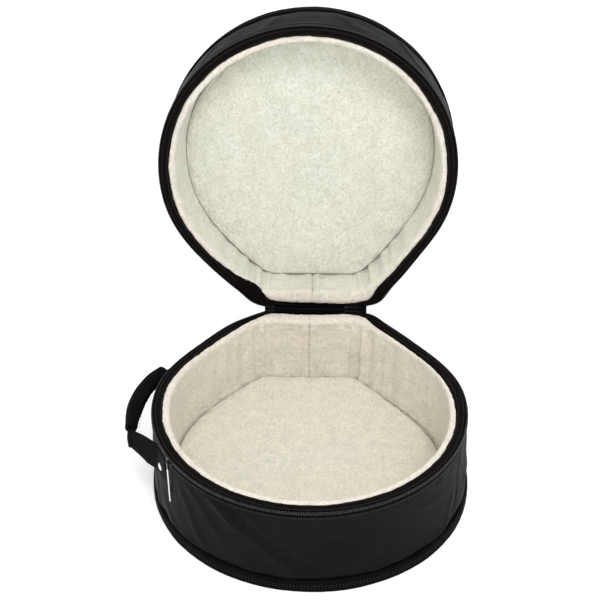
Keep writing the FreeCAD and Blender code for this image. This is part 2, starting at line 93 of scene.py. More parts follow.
class Outline:
    """The case's outline as arcs of one centre each, so that an inset only changes their radii."""

    def __init__(self):
        corner = Vector((CORNER_OFFSET, HINGE_SIDE - CORNER_RADIUS))
        apart = corner.length
        toward = corner / apart
        long_side = FLANK_RADIUS - MAIN_RADIUS
        along = (long_side**2 + apart**2 - (FLANK_RADIUS - CORNER_RADIUS) ** 2) / (2 * apart)
        aside = math.sqrt(long_side**2 - along**2)
        bulge = toward * along + Vector((-toward.y, toward.x)) * aside
        first = math.atan2(-bulge.y, -bulge.x)
        second = math.atan2(corner.y - bulge.y, corner.x - bulge.x)
        quarter = math.pi / 2
        self.arcs = [
            (-corner.x, corner.y, CORNER_RADIUS, quarter, math.pi - second),
            (-bulge.x, bulge.y, FLANK_RADIUS, math.pi - second, math.pi - first),
            (0.0, 0.0, MAIN_RADIUS, math.pi - first, TAU + first),
            (bulge.x, bulge.y, FLANK_RADIUS, first, second),
            (corner.x, corner.y, CORNER_RADIUS, second, quarter),
        ]
        self.starts = [CORNER_OFFSET]
        for _, _, radius, start, end in self.arcs:
            self.starts.append(self.starts[-1] + radius * (end - start))
        self.length = self.starts[-1] + CORNER_OFFSET

    def at(self, along):
        """Points and outward normals at distances along the outline, from the middle of the hinge side
        round by the left."""
        along = np.mod(np.asarray(along, float), self.length)
        points = np.zeros(along.shape + (2,))
        normals = np.zeros(along.shape + (2,))
        normals[..., 1] = 1.0
        points[..., 1] = HINGE_SIDE
        points[..., 0] = np.where(along < self.length / 2, -along, self.length - along)
        for (x, y, radius, start, _), begin, end in zip(self.arcs, self.starts, self.starts[1:]):
            here = (along >= begin) & (along < end)
            angle = start + (along - begin) / radius
            unit = np.stack([np.cos(angle), np.sin(angle)], -1)
            points[here] = (np.array([x, y]) + unit * radius)[here]
            normals[here] = unit[here]
        return points, normals

    def at_angle(self, degrees):
        """Distance along the outline of a bearing on the round front."""
        return self.starts[2] + MAIN_RADIUS * (math.radians(degrees) - self.arcs[2][3])


OUTLINE = Outline()


class Shell:
    """One half of the case: its name, its closed end's CAD nodes, its depth and its floor in the rim
    frame, and the matrix from that frame to the scene."""

    def __init__(self, name, matrix, end_cad, end_fleece):
        self.name = name
        self.matrix = matrix
        self.end_cad = end_cad
        self.end_fleece = end_fleece
        inverse = matrix.inverted()
        node = frame["nodes"][f"{name}_edge_binding"]
        self.depth = -min((inverse @ v.co).z for v in node.data.vertices)
        self.floor = FLOOR_TOP - self.depth


def lid_matrix():
    """Rim frame of the lid: turned over onto the base, then laid open about the hinge."""
    over = Matrix.Translation((0, 0, BASE_HEIGHT)) @ Matrix.Rotation(math.pi, 4, "Y")
    to_hinge = Matrix.Translation(HINGE_POINT)
    swing = to_hinge @ Matrix.Rotation(-CLOSED_ANGLE, 4, "X") @ to_hinge.inverted()
    return swing @ over


BASE = Shell("base", Matrix.Translation((0, 0, BASE_HEIGHT)), "bottom_panel", "floor_fleece")
LID = Shell("lid", lid_matrix(), "top_panel", "top_fleece")

# How each shell settles and fills out, in millimetres, the base first and the lid second.
SOFTNESS = {
    # Widening, sideways move and forward move of the shell, each at the rim and at the closed end.
    "spread": ((2.5, 5.5), (-3.5, -11.0)),
    "drift": ((1.0, 3.5), (4.0, 0.0)),
    "push": ((-1.0, 9.5), (0.0, -7.0)),
    # Extra width of the closed end's front.
    "square": (8.0, 0.0),
    # Width at the flanks' hinge end and at the corners, for the shell's -X side and its +X side.
    "waist": ((-8.5, -8.5), (-14.0, 0.0)),
    "flare": ((8.0, 7.0), (-15.0, 0.0)),
    # Sideways lean of the part next to the hinge.
    "sway": (0.0, -5.0),
    # Where the fleece pulls away from the rim: place along the outline, half width and distance.
    "pulled": ((-230, 110, 4.5), (-96, 42, 13)),
    # Swell of the nylon wall, crown of the fleece pad, dome of the closed end, depth of the pad's groove.
    "swell": (2.4, 2.4),
    "crown": (2.0, 2.0),
    "dome": (0.2, 2.0),
    "groove": (3.4, 0.6),
    # Rise of the fleece pad at its left, its right and its back.
    "banked": ((11, -3, 7), (0, 0, 12)),
}
for quality, (of_base, of_lid) in SOFTNESS.items():
    setattr(BASE, quality, np.array(of_base) * MM)
    setattr(LID, quality, np.array(of_lid) * MM)
# How late the settling comes on from the rim to the closed end.
BASE.flow = 2
LID.flow = 1

# ---------------------------------------------------------------- noise


def lattice(cells, seed):
    """A number from 0 to 1 for each whole-number cell, the same on every run."""
    cells = cells.astype(np.int64)
    mixed = cells[..., 0] * 73856093 ^ cells[..., 1] * 19349663 ^ cells[..., 2] * 83492791
    mixed = mixed ^ seed * 2654435761
    mixed = (mixed ^ (mixed >> 13)) * 1274126177
    mixed = mixed ^ (mixed >> 16)
    return (mixed & 0xFFFFFF) / float(0xFFFFFF)


def noise(points, size, seed=0):
    """Smooth noise from -1 to 1 with features of the given size."""
    scaled = points / size
    cell = np.floor(scaled)
    part = scaled - cell
    part = part * part * (3 - 2 * part)
    total = np.zeros(points.shape[:-1])
    for corner in np.ndindex(2, 2, 2):
        step = np.array(corner)
        weight = np.prod(np.where(step, part, 1 - part), axis=-1)
        total += weight * lattice(cell + step, seed)
    return total * 2 - 1


def layered_noise(points, size, seed=0, layers=3):
    total = np.zeros(points.shape[:-1])
    for layer in range(layers):
        total += noise(points, size / 2**layer, seed + layer) / 2**layer
    return total / (2 - 0.5 ** (layers - 1))


def nubs(points, size, seed=0):
    """Round bumps from 0 to 1, one to each cell of a jittered grid."""
    scaled = points / size
    cell = np.floor(scaled)
    nearest = np.full(points.shape[:-1], 9.0)
    for step in np.ndindex(3, 3, 3):
        corner = cell + np.array(step) - 1
        jitter = np.stack([lattice(corner, seed + axis) for axis in range(3)], -1)
        gap = np.linalg.norm(corner + jitter - scaled, axis=-1)
        nearest = np.minimum(nearest, gap)
    return np.sqrt(np.clip(1 - (nearest / 0.85) ** 2, 0, 1))


def pile_height(points, seed=0):
    """Height of the sherpa pile in metres: curled tufts on softer clumps."""
    warp = np.stack([noise(points, 7 * MM, seed + axis) for axis in range(3)], -1) * 1.2 * MM
    tufts = nubs(points + warp, 2.8 * MM, seed + 5)
    curls = layered_noise(points, 2.6 * MM, seed + 9, 2)
    clumps = layered_noise(points, 12 * MM, seed + 12, 2)
    return (0.95 * tufts + 0.55 * curls + 0.35 * clumps) * MM


# ---------------------------------------------------------------- mesh making


def dress(piece, body, slot, material, *nodes):
    """Gives a piece its body and material, and hides the CAD nodes that it stands for; slot is not used."""
    if body:
        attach(piece, body)
    if nodes:
        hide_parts(*nodes)
    piece.data.materials.append(materials[material])


def unit(vectors):
    return vectors / np.linalg.norm(vectors, axis=-1, keepdims=True)


def grid(rows, columns):
    return np.meshgrid(rows, columns, indexing="ij")


def laid(x, y):
    """Points on a flat sheet, for noise that follows the fabric."""
    return np.stack([x, y, np.zeros_like(x)], -1)


def make_mesh(name, points, faces, uvs=None, smooth=True):
    mesh = bpy.data.meshes.new(name)
    mesh.from_pydata(np.asarray(points, float).reshape(-1, 3).tolist(), [], faces)
    if uvs is not None:
        layer = mesh.uv_layers.new(name="UVMap")
        corner = np.zeros(len(mesh.loops), np.int32)
        mesh.loops.foreach_get("vertex_index", corner)
        layer.data.foreach_set("uv", np.asarray(uvs, float).reshape(-1, 2)[corner].ravel())
    if smooth:
        mesh.polygons.foreach_set("use_smooth", np.ones(len(mesh.polygons), bool))
    mesh.validate()
    mesh.update()
    piece = bpy.data.objects.new(name, mesh)
    bpy.context.scene.collection.objects.link(piece)
    return piece


def grid_faces(rows, columns, wrap_rows, wrap_columns, first=0):
    """Quads of a grid of rows by columns; a wrapped direction joins its end to its start."""
    i = np.arange(rows if wrap_rows else rows - 1)
    j = np.arange(columns if wrap_columns else columns - 1)
    i, j = grid(i, j)
    after_i = (i + 1) % rows
    after_j = (j + 1) % columns
    quads = [i * columns + j, after_i * columns + j, after_i * columns + after_j, i * columns + after_j]
    return (np.stack(quads, -1).reshape(-1, 4) + first).tolist()


def sheet_faces(rows, columns):
    """Faces of a thin sheet: one grid, a second grid behind it and a wall round their edges."""
    first = rows * columns
    faces = [face[::-1] for face in grid_faces(rows, columns, False, False)]
    faces += grid_faces(rows, columns, False, False, first)
    loop = [j for j in range(columns)] + [i * columns + columns - 1 for i in range(1, rows)]
    loop += [(rows - 1) * columns + j for j in range(columns - 2, -1, -1)]
    loop += [i * columns for i in range(rows - 2, 0, -1)]
    for k, corner in enumerate(loop):
        after = loop[(k + 1) % len(loop)]
        faces.append([corner, after, first + after, first + corner])
    return faces


def place(points, matrix):
    """Carries points through a matrix."""
    m = np.array(matrix)
    return points @ m[:3, :3].T + m[:3, 3]


def add_attribute(piece, name, values):
    attribute = piece.data.attributes.new(name, "FLOAT", "POINT")
    attribute.data.foreach_set("value", np.asarray(values, np.float32).ravel())


def swept(along, inset, height):
    """Points in the rim frame at distances along the outline, insets and heights, all one shape."""
    flat, normals = OUTLINE.at(along)
    points = np.zeros(np.shape(along) + (3,))
    points[..., :2] = flat - normals * inset[..., None]
    points[..., 2] = height
    return points


def profile_curve(corners, spacing):
    """Evenly spaced points along straight and rounded stretches through the given corners."""
    corners = np.array(corners, float)
    lengths = np.linalg.norm(np.diff(corners, axis=0), axis=1)
    total = np.concatenate([[0], np.cumsum(lengths)])
    count = max(2, int(round(total[-1] / spacing)) + 1)
    at = np.linspace(0, total[-1], count)
    return np.stack([np.interp(at, total, corners[:, axis]) for axis in range(2)], -1)


def ring_piece(shell, name, profile, spacing, shift=None, span=None, closed=True):
    """Sweeps a profile of (inset, height) round the outline, or along a span of it. shift(along,
    inset, height) may move the points and returns new insets and heights."""
    start, end = span or (0.0, OUTLINE.length)
    count = int((end - start) / spacing)
    along = np.linspace(start, end, count, endpoint=span is not None)
    grid_along, grid_index = grid(along, np.arange(len(profile)))
    inset = profile[grid_index, 0]
    height = profile[grid_index, 1]
    if shift:
        inset, height = shift(grid_along, inset, height)
    points = swept(grid_along, inset, height)
    steps = np.linalg.norm(np.diff(profile, axis=0), axis=1)
    across = np.concatenate([[0], np.cumsum(steps)])
    uvs = np.stack([grid_along, across[grid_index]], -1)
    faces = grid_faces(len(along), len(profile), span is None, closed)
    if span is not None and closed:
        last = (len(along) - 1) * len(profile)
        faces.append([last + k for k in range(len(profile))])
        faces.append([k for k in reversed(range(len(profile)))])
    return make_mesh(name, set_in_place(shell, points), faces, uvs)


# ---------------------------------------------------------------- shared shapes


def smooth_step(value, start, end):
    """Runs smoothly from 0 at the start to 1 at the end."""
    part = np.clip((value - start) / (end - start), 0, 1)
    return part * part * (3 - 2 * part)


def bump(value, centre, half_width):
    """Round hill of height 1 about a centre."""
    return np.exp(-(((value - centre) / half_width) ** 2))


def around(along, centre):
    """Signed distance along the outline from a centre, the short way round."""
    half = OUTLINE.length / 2
    return np.mod(along - centre + half, OUTLINE.length) - half


def settle(shell, points):
    """Lets an open soft shell spread, lean and sag out of its drawn shape, as SOFTNESS says. The middle
    of the hinge side stays put."""
    share = np.clip(-points[..., 2] / shell.depth, 0, 1)
    side = points[..., 0] / MAIN_RADIUS
    front = np.clip(-points[..., 1] / MAIN_RADIUS, 0, 1)
    from_hinge = HINGE_SIDE - points[..., 1]
    free = smooth_step(from_hinge, 20 * MM, 200 * MM)
    left = points[..., 0] < 0
    waist = np.where(left, *shell.waist) * side * bump(from_hinge, 80 * MM, 55 * MM)
    flare = np.where(left, *shell.flare) * bump(from_hinge, 6 * MM, 18 * MM)
    flare = flare * smooth_step(np.abs(points[..., 0]), 58 * MM, 85 * MM)
    ease = share**shell.flow
    pairs = (shell.spread, shell.drift, shell.push)
    spread, drift, push = (pair[0] + (pair[1] - pair[0]) * ease for pair in pairs)
    sway = shell.sway * smooth_step(from_hinge, 2 * MM, 30 * MM)
    sway = sway * smooth_step(-from_hinge, -170 * MM, -50 * MM)
    moved = points.copy()
    square = shell.square * side * front * ease
    moved[..., 0] += free * (spread * side + drift) + square + waist + sway + flare
    moved[..., 1] -= front * push
    return moved


def set_in_place(shell, points):
    return place(settle(shell, points), shell.matrix)


def pile_edge(shell, along):
    """Inset where the fleece meets the rim tape, which narrows along the hinge side and widens where
    the fleece has pulled away from the rim."""
    narrow = 10.5 * MM * (1 - smooth_step(np.abs(around(along, 0)), 45 * MM, 120 * MM))
    centre, half_width, amount = shell.pulled
    pulled = amount * bump(around(along, centre), 0, half_width)
    line = laid(along, np.full_like(along, shell.depth))
    waver = 1.1 * MM * layered_noise(line, 38 * MM, 17, 2) + 0.5 * MM * noise(line, 6 * MM, 19)
    return PILE_INSET - narrow + pulled + waver


def reach_of(inset):
    """Bearings and distances from the middle to the outline at an inset, for laying flat pads."""
    flat, normals = OUTLINE.at(np.linspace(0, OUTLINE.length, 1440, endpoint=False))
    edge = flat - normals * inset
    bearing = np.arctan2(edge[:, 1], edge[:, 0])
    order = np.argsort(bearing)
    return bearing[order], np.hypot(edge[:, 0], edge[:, 1])[order]


def pad_grid(inset, cells):
    """A square grid pulled into the outline's shape, and each point's share of the way to its edge."""
    line = np.linspace(-1, 1, cells)
    u, v = grid(line, line)
    x = u * np.sqrt(1 - v * v / 2)
    y = v * np.sqrt(1 - u * u / 2)
    bearings, radii = reach_of(inset)
    bearing = np.arctan2(y, x)
    share = np.hypot(x, y)
    reach = np.interp(bearing, bearings, radii, period=TAU)
    return np.stack([share * reach * np.cos(bearing), share * reach * np.sin(bearing)], -1), share, reach


def border(cells):
    """Indices round the edge of a square grid, in order."""
    last = cells - 1
    loop = [(0, j) for j in range(last)] + [(i, last) for i in range(last)]
    loop += [(last, j) for j in range(last, 0, -1)] + [(i, 0) for i in range(last, 0, -1)]
    return [i * cells + j for i, j in loop]


def closed_pad(name, shell, flat, top, under, cells):
    """A pad with a shaped top face, its edge carried down to a flat underside."""
    upper = np.concatenate([flat.reshape(-1, 2), top.reshape(-1, 1)], axis=1)
    loop = border(cells)
    skirt = upper[loop].copy()
    skirt[:, 2] = under
    centre = np.array([[0, 0, under]])
    points = np.concatenate([upper, skirt, centre])
    faces = grid_faces(cells, cells, False, False)
    if under > top.min():
        faces = [face[::-1] for face in faces]
    first = cells * cells
    middle = first + len(loop)
    for k, corner in enumerate(loop):
        after = (k + 1) % len(loop)
        wall = [corner, first + k, first + after, loop[after]]
        floor = [first + k, middle, first + after]
        if under > top.min():
            wall.reverse()
            floor.reverse()
        faces.append(wall)
        faces.append(floor)
    where = points if shell is None else set_in_place(shell, points)
    return make_mesh(name, where, faces, points[:, :2])


def tube(path, frames, loop):
    """Sweeps a loop of (side, up) points along a path with a (side, up) frame at each point."""
    side, up = frames
    points = path[:, None] + side[:, None] * loop[None, :, :1] + up[:, None] * loop[None, :, 1:]
    faces = grid_faces(len(path), len(loop), False, True)
    last = (len(path) - 1) * len(loop)
    faces.append([k for k in reversed(range(len(loop)))])
    faces.append([last + k for k in range(len(loop))])
    return points, faces


def path_frames(path, up_hint):
    """Side and up directions along a path, up kept near the hint."""
    ahead = unit(np.gradient(path, axis=0))
    side = unit(np.cross(ahead, up_hint))
    return side, np.cross(side, ahead)


def stitch_row(name, centres, ahead, out):
    """A row of thread stitches: small pointed pillows lying along a line on a surface."""
    half_length = 1.3 * MM
    half = 0.32 * MM
    rise = 0.35 * MM
    side = np.cross(ahead, out)
    spots = [(-1, 0, 0), (-0.55, 1, 0.7), (-0.55, -1, 0.7), (0.55, 1, 0.7), (0.55, -1, 0.7), (1, 0, 0)]
    spots += [(-0.5, 0, 1), (0.5, 0, 1), (-0.55, 0, -1), (0.55, 0, -1)]
    quads = [(0, 2, 6), (0, 6, 1), (6, 2, 4, 7), (1, 6, 7, 3), (7, 4, 5), (3, 7, 5)]
    quads += [(0, 1, 8), (0, 8, 2), (1, 3, 9, 8), (2, 8, 9, 4), (3, 5, 9), (4, 9, 5)]
    points = []
    faces = []
    for k in range(len(centres)):
        first = len(points)
        for a, s, u in spots:
            step = ahead[k] * a * half_length + side[k] * s * half + out[k] * u * rise
            points.append(centres[k] + step)
        faces += [[first + q for q in quad] for quad in quads]
    return make_mesh(name, points, faces)


def shell_stitches(shell, name, slot, inset, height, pitch, span=None, upward=False):
    """Stitches sewn round a shell at an inset and height, standing out from it or upward."""
    start, end = span or (0.0, OUTLINE.length)
    along = np.arange(start, end, pitch)
    _, normals = OUTLINE.at(along)
    points = swept(along, np.full(len(along), inset), height)
    turn = np.array(shell.matrix)[:3, :3]
    out = np.concatenate([normals, np.zeros((len(along), 1))], axis=1)
    ahead = np.cross(np.array([0, 0, 1.0]), out)
    if upward:
        out = np.tile([0, 0, 1.0], (len(along), 1))
    row = stitch_row(f"{shell.name}_{name}", set_in_place(shell, points), ahead @ turn.T, out @ turn.T)
    dress(row, shell.name, slot, "thread")


# ---------------------------------------------------------------- cloth


def simulate(piece, held, pressure, growth, cap):
    """Puffs and creases a coarse closed form with a cloth run and returns how far each point moved.
    The points in held stay where they are, and no point moves more than the cap."""
    start = np.zeros((len(piece.data.vertices), 3))
    piece.data.vertices.foreach_get("co", start.reshape(-1))
    group = piece.vertex_groups.new(name="held")
    group.add([int(k) for k in held], 1.0, "REPLACE")
    cloth = piece.modifiers.new("Cloth", "CLOTH")
    cloth.settings.quality = 6
    cloth.settings.mass = 0.25
    cloth.settings.tension_stiffness = 18
    cloth.settings.compression_stiffness = 18
    cloth.settings.shear_stiffness = 8
    cloth.settings.bending_stiffness = 1.2
    cloth.settings.use_pressure = True
    cloth.settings.uniform_pressure_force = pressure
    cloth.settings.shrink_min = -growth
    cloth.settings.vertex_group_mass = "held"
    cloth.settings.effector_weights.gravity = 0
    scene = bpy.context.scene
    for step in range(1, 21):
        scene.frame_set(step)
    evaluated = piece.evaluated_get(bpy.context.evaluated_depsgraph_get())
    moved = np.zeros_like(start)
    evaluated.data.vertices.foreach_get("co", moved.reshape(-1))
    moved -= start
    scene.frame_set(1)
    mesh = piece.data
    bpy.data.objects.remove(piece)
    bpy.data.meshes.remove(mesh)
    distance = np.linalg.norm(moved, axis=1, keepdims=True)
    return moved * np.minimum(1, cap / np.maximum(distance, 1e-9))


def softened(moved, times=3):
    """Evens out the cloth's movement a little, round the outline and up the wall."""
    for _ in range(times):
        moved = (np.roll(moved, 1, 0) + 2 * moved + np.roll(moved, -1, 0)) / 4
        up = np.concatenate([moved[:, 1:], moved[:, -1:]], 1)
        down = np.concatenate([moved[:, :1], moved[:, :-1]], 1)
        moved = (up + 2 * moved + down) / 4
    return moved


def spread_rows(values, rows, columns, wrap_rows):
    """Refines a coarse grid of values to rows by columns, smoothly between its points."""
    for axis, count, wrap in ((0, rows, wrap_rows), (1, columns, False)):
        size = values.shape[axis]
        at = np.linspace(0, size if wrap else size - 1, count, endpoint=not wrap)
        low = np.floor(at).astype(int)
        part = at - low
        part = (part * part * (3 - 2 * part)).reshape((-1, 1, 1) if axis == 0 else (1, -1, 1))
        high = (low + 1) % size if wrap else np.minimum(low + 1, size - 1)
        values = np.take(values, low % size, axis) * (1 - part) + np.take(values, high, axis) * part
    return values


# ---------------------------------------------------------------- fleece lining

# Soft upright folds in the fleece wall: distance from the middle of the hinge side, rise and half width.
FLEECE_FOLDS = [
    (7, 2.4, 4),
    (24, -0.8, 9),
    (50, 1.6, 8),
    (78, 3.0, 7),
    (93, -1.6, 6),
    (106, 2.6, 6),
    (121, -1.2, 6),
    (136, 2.2, 8),
    (158, 1.6, 7),
    (174, -1.0, 8),
    (196, 1.5, 12),
]


def fleece_profile(shell, spacing):
    """The fleece wall's section: up its hidden back, over the rim and down to the floor."""
    near = PILE_INSET + 0.1 * MM
    far = WELL_INSET - 0.1 * MM
    low = shell.floor - PAD_THICKNESS
    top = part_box("base_side_fleece")[1].z - BASE_HEIGHT
    radius = (far - near) / 2
    arch = []
    for turn in np.linspace(math.pi, 0, 24):
        x = (near + far) / 2 + radius * math.cos(turn)
        arch.append((x, top - radius * (1 - math.sin(turn) ** 0.8)))
    back = [(near, low + (arch[0][1] - low) * k / 5) for k in range(5)]
    front = profile_curve(arch + [(far, low)], spacing)
    return np.array(back), front


def fleece_folds(along):
    total = np.zeros_like(along)
    for place_mm, rise, half_width in FLEECE_FOLDS:
        for side in (-1, 1):
            wander = place_mm * MM * (1 + 0.05 * side)
            total += 1.3 * rise * MM * bump(around(along, side * wander), 0, half_width * MM)
    return total


def seam_strength(shell, from_hinge):
    """How deep the groove at the pad's edge is and how dark the painted shade in its seam is: faint round
    the lid's front, and strong by the hinge.
    """
    if shell is LID:
        return 1 - smooth_step(from_hinge, 60 * MM, 110 * MM)
    return 1 - 0.4 * smooth_step(from_hinge, 220 * MM, 330 * MM)


def fleece_wall(shell):
    """Sherpa wall of one shell: a cloth-puffed band with a rounded rim, upright folds and pile."""
    name = f"{shell.name}_fleece_wall"
    back, front = fleece_profile(shell, 1.45 * MM)
    profile = np.concatenate([back, front])
    columns = int((OUTLINE.length - TAU * WELL_INSET) / (1.55 * MM))
    along = np.linspace(0, OUTLINE.length, columns, endpoint=False)
    grid_along, index = grid(along, np.arange(len(profile)))
    inset = profile[index, 0]
    height = profile[index, 1]
    thicker = (WELL_INSET - pile_edge(shell, grid_along)) / (WELL_INSET - PILE_INSET)
    rest = swept(grid_along, WELL_INSET - (WELL_INSET - inset) * thicker, height)
    _, normals = OUTLINE.at(grid_along)
    inward = np.concatenate([-normals, np.zeros(normals.shape[:-1] + (1,))], -1)
    puff = np.zeros_like(rest)
    puff = cloth_puff(front, columns, len(back), len(profile))
    low = height.min()
    facing_in = smooth_step(inset, PILE_INSET + 1 * MM, WELL_INSET - 4 * MM)
    free = facing_in * smooth_step(height, low, low + 14 * MM) * smooth_step(-height, 4 * MM, 22 * MM)
    folds = fleece_folds(grid_along) * free
    folds += 1.0 * MM * layered_noise(rest * np.array([1, 1, 0.25]), 45 * MM, 31, 2) * free
    seam = bump(around(grid_along, 0), 0, 0.9 * MM) * smooth_step(inset, PILE_INSET, WELL_INSET) * 0.6
    seam = np.maximum(seam, bump(around(grid_along, 0), 0, 2.4 * MM) * bump(height, shell.floor, 3 * MM))
    rest = rest + puff + inward * (folds - 1.6 * MM * seam)[..., None]
    steps = np.gradient(rest, axis=1)
    across = np.gradient(rest, axis=0)
    out = np.cross(across, steps)
    out /= np.maximum(np.linalg.norm(out, axis=-1, keepdims=True), 1e-9)
    out *= np.sign(np.sum(out * inward, axis=-1).mean())
    pile = pile_height(rest, 40 if shell is BASE else 70)
    pile *= (1 - 0.6 * seam) * (index >= len(back))
    rest = rest + out * (pile - 0.5 * MM)[..., None] * (index >= len(back))[..., None]
    rest[:, -3:, 2] -= np.array([0.0, 0.4, 0.8]) * MM
    faces = grid_faces(columns, len(profile), True, True)
    piece = make_mesh(name, set_in_place(shell, rest), faces)
    add_attribute(piece, "pile", pile / MM)
    # The seam attribute carries painted shade: along the seam grooves and in the crevice at the wall's foot.
    foot = bump(height, shell.floor, 1.2 * MM) * smooth_step(inset, PILE_INSET, WELL_INSET - 1 * MM)
    foot = foot * seam_strength(shell, HINGE_SIDE - rest[..., 1])
    add_attribute(piece, "seam", np.maximum(seam, foot))
    # rim marks the top of the fleece rim, where the material paints a pinkish highlight.
    rim = smooth_step(height, -8 * MM, -2 * MM)
    add_attribute(piece, "rim", rim)
    dress(piece, shell.name, "lining_fleece", "fleece", f"{shell.name}_side_fleece")


def cloth_puff(front, columns, hidden, profile_size):
    """Runs the cloth on a coarse copy of the fleece band and spreads its movement over the fine grid."""
    coarse_columns = 150
    coarse_front = front[np.linspace(0, len(front) - 1, 16).astype(int)]
    back_low = np.array([coarse_front[0][0], coarse_front[-1][1]])
    back_mid = np.array([coarse_front[0][0], (coarse_front[0][1] + coarse_front[-1][1]) / 2])
    loop = np.concatenate([[back_low, back_mid], coarse_front])
    along = np.linspace(0, OUTLINE.length, coarse_columns, endpoint=False)
    grid_along, index = grid(along, np.arange(len(loop)))
    points = swept(grid_along, loop[index, 0], loop[index, 1])
    faces = [face[::-1] for face in grid_faces(coarse_columns, len(loop), True, True)]
    form = make_mesh("fleece_form", points, faces, smooth=False)
    held = np.arange(coarse_columns * len(loop)).reshape(coarse_columns, -1)
    held = np.concatenate([held[:, :3].ravel(), held[:, -2:].ravel()])
    moved = simulate(form, held, 3.0, 0.03, 3.5 * MM).reshape(coarse_columns, -1, 3)
    moved = softened(moved)
    fine = spread_rows(moved[:, 2:], columns, profile_size - hidden, True)
    return np.concatenate([np.zeros((columns, hidden, 3)), fine], axis=1)


def fleece_pad(shell):
    """Sherpa pad on the closed end of one shell, crowned and rolled down to the wall's seam."""
    cells = 236
    inset = WELL_INSET + 0.1 * MM
    flat, share, reach = pad_grid(inset, cells)
    to_edge = (1 - share) * reach
    roll = np.clip(1 - to_edge / (7 * MM), 0, 1)
    sewn = shell.groove + (3.4 * MM - shell.groove) * seam_strength(shell, HINGE_SIDE - flat[..., 1])
    top = shell.floor - sewn * (1 - np.sqrt(np.clip(1 - roll**2, 0, 1)))
    top = top + shell.crown * np.sin(np.clip(to_edge / (90 * MM), 0, 1) * math.pi / 2)
    left, right, back = shell.banked
    for aside, rise in ((-flat[..., 0], left), (flat[..., 0], right)):
        top = top + rise * smooth_step(aside, 40 * MM, 185 * MM)
    top = top + back * smooth_step(flat[..., 1], HINGE_SIDE - 150 * MM, HINGE_SIDE - WELL_INSET)
    puff = np.zeros(flat.shape[:-1] + (3,))
    puff = pad_puff(shell, inset, cells)
    rest = np.concatenate([flat, top[..., None]], -1) + puff
    rest[..., 2] += 0.8 * MM * layered_noise(rest, 60 * MM, 51, 2) * smooth_step(to_edge, 0, 30 * MM)
    pile = pile_height(rest, 90 if shell is BASE else 120)
    rest[..., 2] += (pile - 0.5 * MM) * smooth_step(to_edge, 0, 2 * MM)
    name = f"{shell.name}_fleece_pad"
    under = shell.floor - PAD_THICKNESS
    piece = closed_pad(name, shell, rest[..., :2], rest[..., 2], under, cells)
    extra = len(piece.data.vertices) - cells * cells
    add_attribute(piece, "pile", np.concatenate([pile.ravel() / MM, np.zeros(extra)]))
    # Painted shade in the seam at the pad's edge; the skirt and the underside are fully shaded.
    foot = bump(to_edge, 0, 1.2 * MM) * seam_strength(shell, HINGE_SIDE - rest[..., 1])
    add_attribute(piece, "seam", np.concatenate([foot.ravel(), np.ones(extra)]))
    dress(piece, shell.name, "lining_fleece", "fleece", f"{shell.name}_{shell.end_fleece}")


def pad_puff(shell, inset, cells):
    """Cloth run for the pad: its edge is sewn down, its face swells a little and creases."""
    coarse = 44
    flat, share, _ = pad_grid(inset, coarse)
    top = np.full(share.shape, shell.floor)
    form = closed_pad("pad_form", None, flat, top, shell.floor - PAD_THICKNESS, coarse)
    points = coarse * coarse
    held = border(coarse) + list(range(points, len(form.data.vertices)))
    moved = simulate(form, held, 1.0, 0.015, 4 * MM)[:points].reshape(coarse, coarse, 3)
    return spread_rows(moved, cells, cells, False)


# ---------------------------------------------------------------- outer fabric

# Creases in the nylon wall: bearing and drop below the rim at each end, rise and half width. The
# bearing runs from the right of the case, and 270 degrees is the middle of its front.
CREASES = {
    "base": [
        (230, 6, 249, 52, 3.2, 7.0),
        (249, 52, 268, 104, 2.8, 9.0),
        (236, 10, 258, 60, -2.2, 6.5),
        (258, 60, 272, 100, -1.0, 8.0),
        (217, 30, 233, 106, 1.0, 6.0),
        (222, 14, 240, 78, 0.8, 5.0),
        (207, 70, 217, 112, 0.8, 5.5),
        (198, 70, 203, 112, 0.8, 5.0),
        (276, 18, 292, 70, 0.7, 9.0),
        (300, 16, 322, 52, 0.8, 7.0),
        (318, 14, 336, 60, 1.0, 6.0),
        (331, 60, 325, 110, 1.2, 6.0),
        (340, 12, 333, 96, 1.5, 5.0),
        (348, 16, 343, 104, 1.4, 5.0),
        (357, 20, 354, 106, 1.4, 6.0),
        (366, 12, 362, 100, 1.0, 7.0),
        (160, 40, 170, 108, 1.2, 7.0),
        (178, 24, 186, 110, 1.3, 6.0),
        (380, 24, 374, 108, 1.2, 8.0),
    ],
    "lid": [
        (200, 10, 190, 60, 1.2, 6.0),
        (222, 12, 236, 62, 1.3, 6.0),
        (250, 10, 262, 60, 0.9, 8.0),
        (290, 10, 278, 60, 0.9, 8.0),
        (316, 12, 304, 62, 1.3, 6.0),
        (338, 10, 350, 60, 1.2, 6.0),
        (170, 12, 160, 62, 1.0, 7.0),
        (372, 12, 380, 62, 1.0, 7.0),
    ],
}


# Where the wall lies flat under the rivets and the zip pull: bearing, drop below the rim and reach.
FLAT_SPOTS = ((203, 38, 28), (148, 38, 28), (212.5, 30, 18), (212.5, 52, 16), (212.5, 72, 16))


def crease_field(shell, along, height):
    """Outward rise of the sewn creases over the wall."""
    total = np.zeros_like(along)
    for bearing_a, drop_a, bearing_b, drop_b, rise, half_width in CREASES[shell.name]:
        a = np.array([OUTLINE.at_angle(bearing_a), -drop_a * MM])
        b = np.array([OUTLINE.at_angle(bearing_b), -drop_b * MM])
        run = b - a
        length = np.linalg.norm(run)
        run = run / length
        x = around(along, a[0])
        y = height - a[1]
        along_it = (x * run[0] + y * run[1]) / length
        aside = (y * run[0] - x * run[1]) / (half_width * MM)
        wander = 0.35 * np.sin(5 * along_it + bearing_a)
        fade = smooth_step(along_it, -0.15, 0.25) * smooth_step(-along_it, -1.15, -0.7)
        ridge = np.exp(-((aside + wander) ** 2)) - 0.35 * np.exp(-((aside + wander - 1.9) ** 2))
        total += rise * MM * fade * ridge
    return total


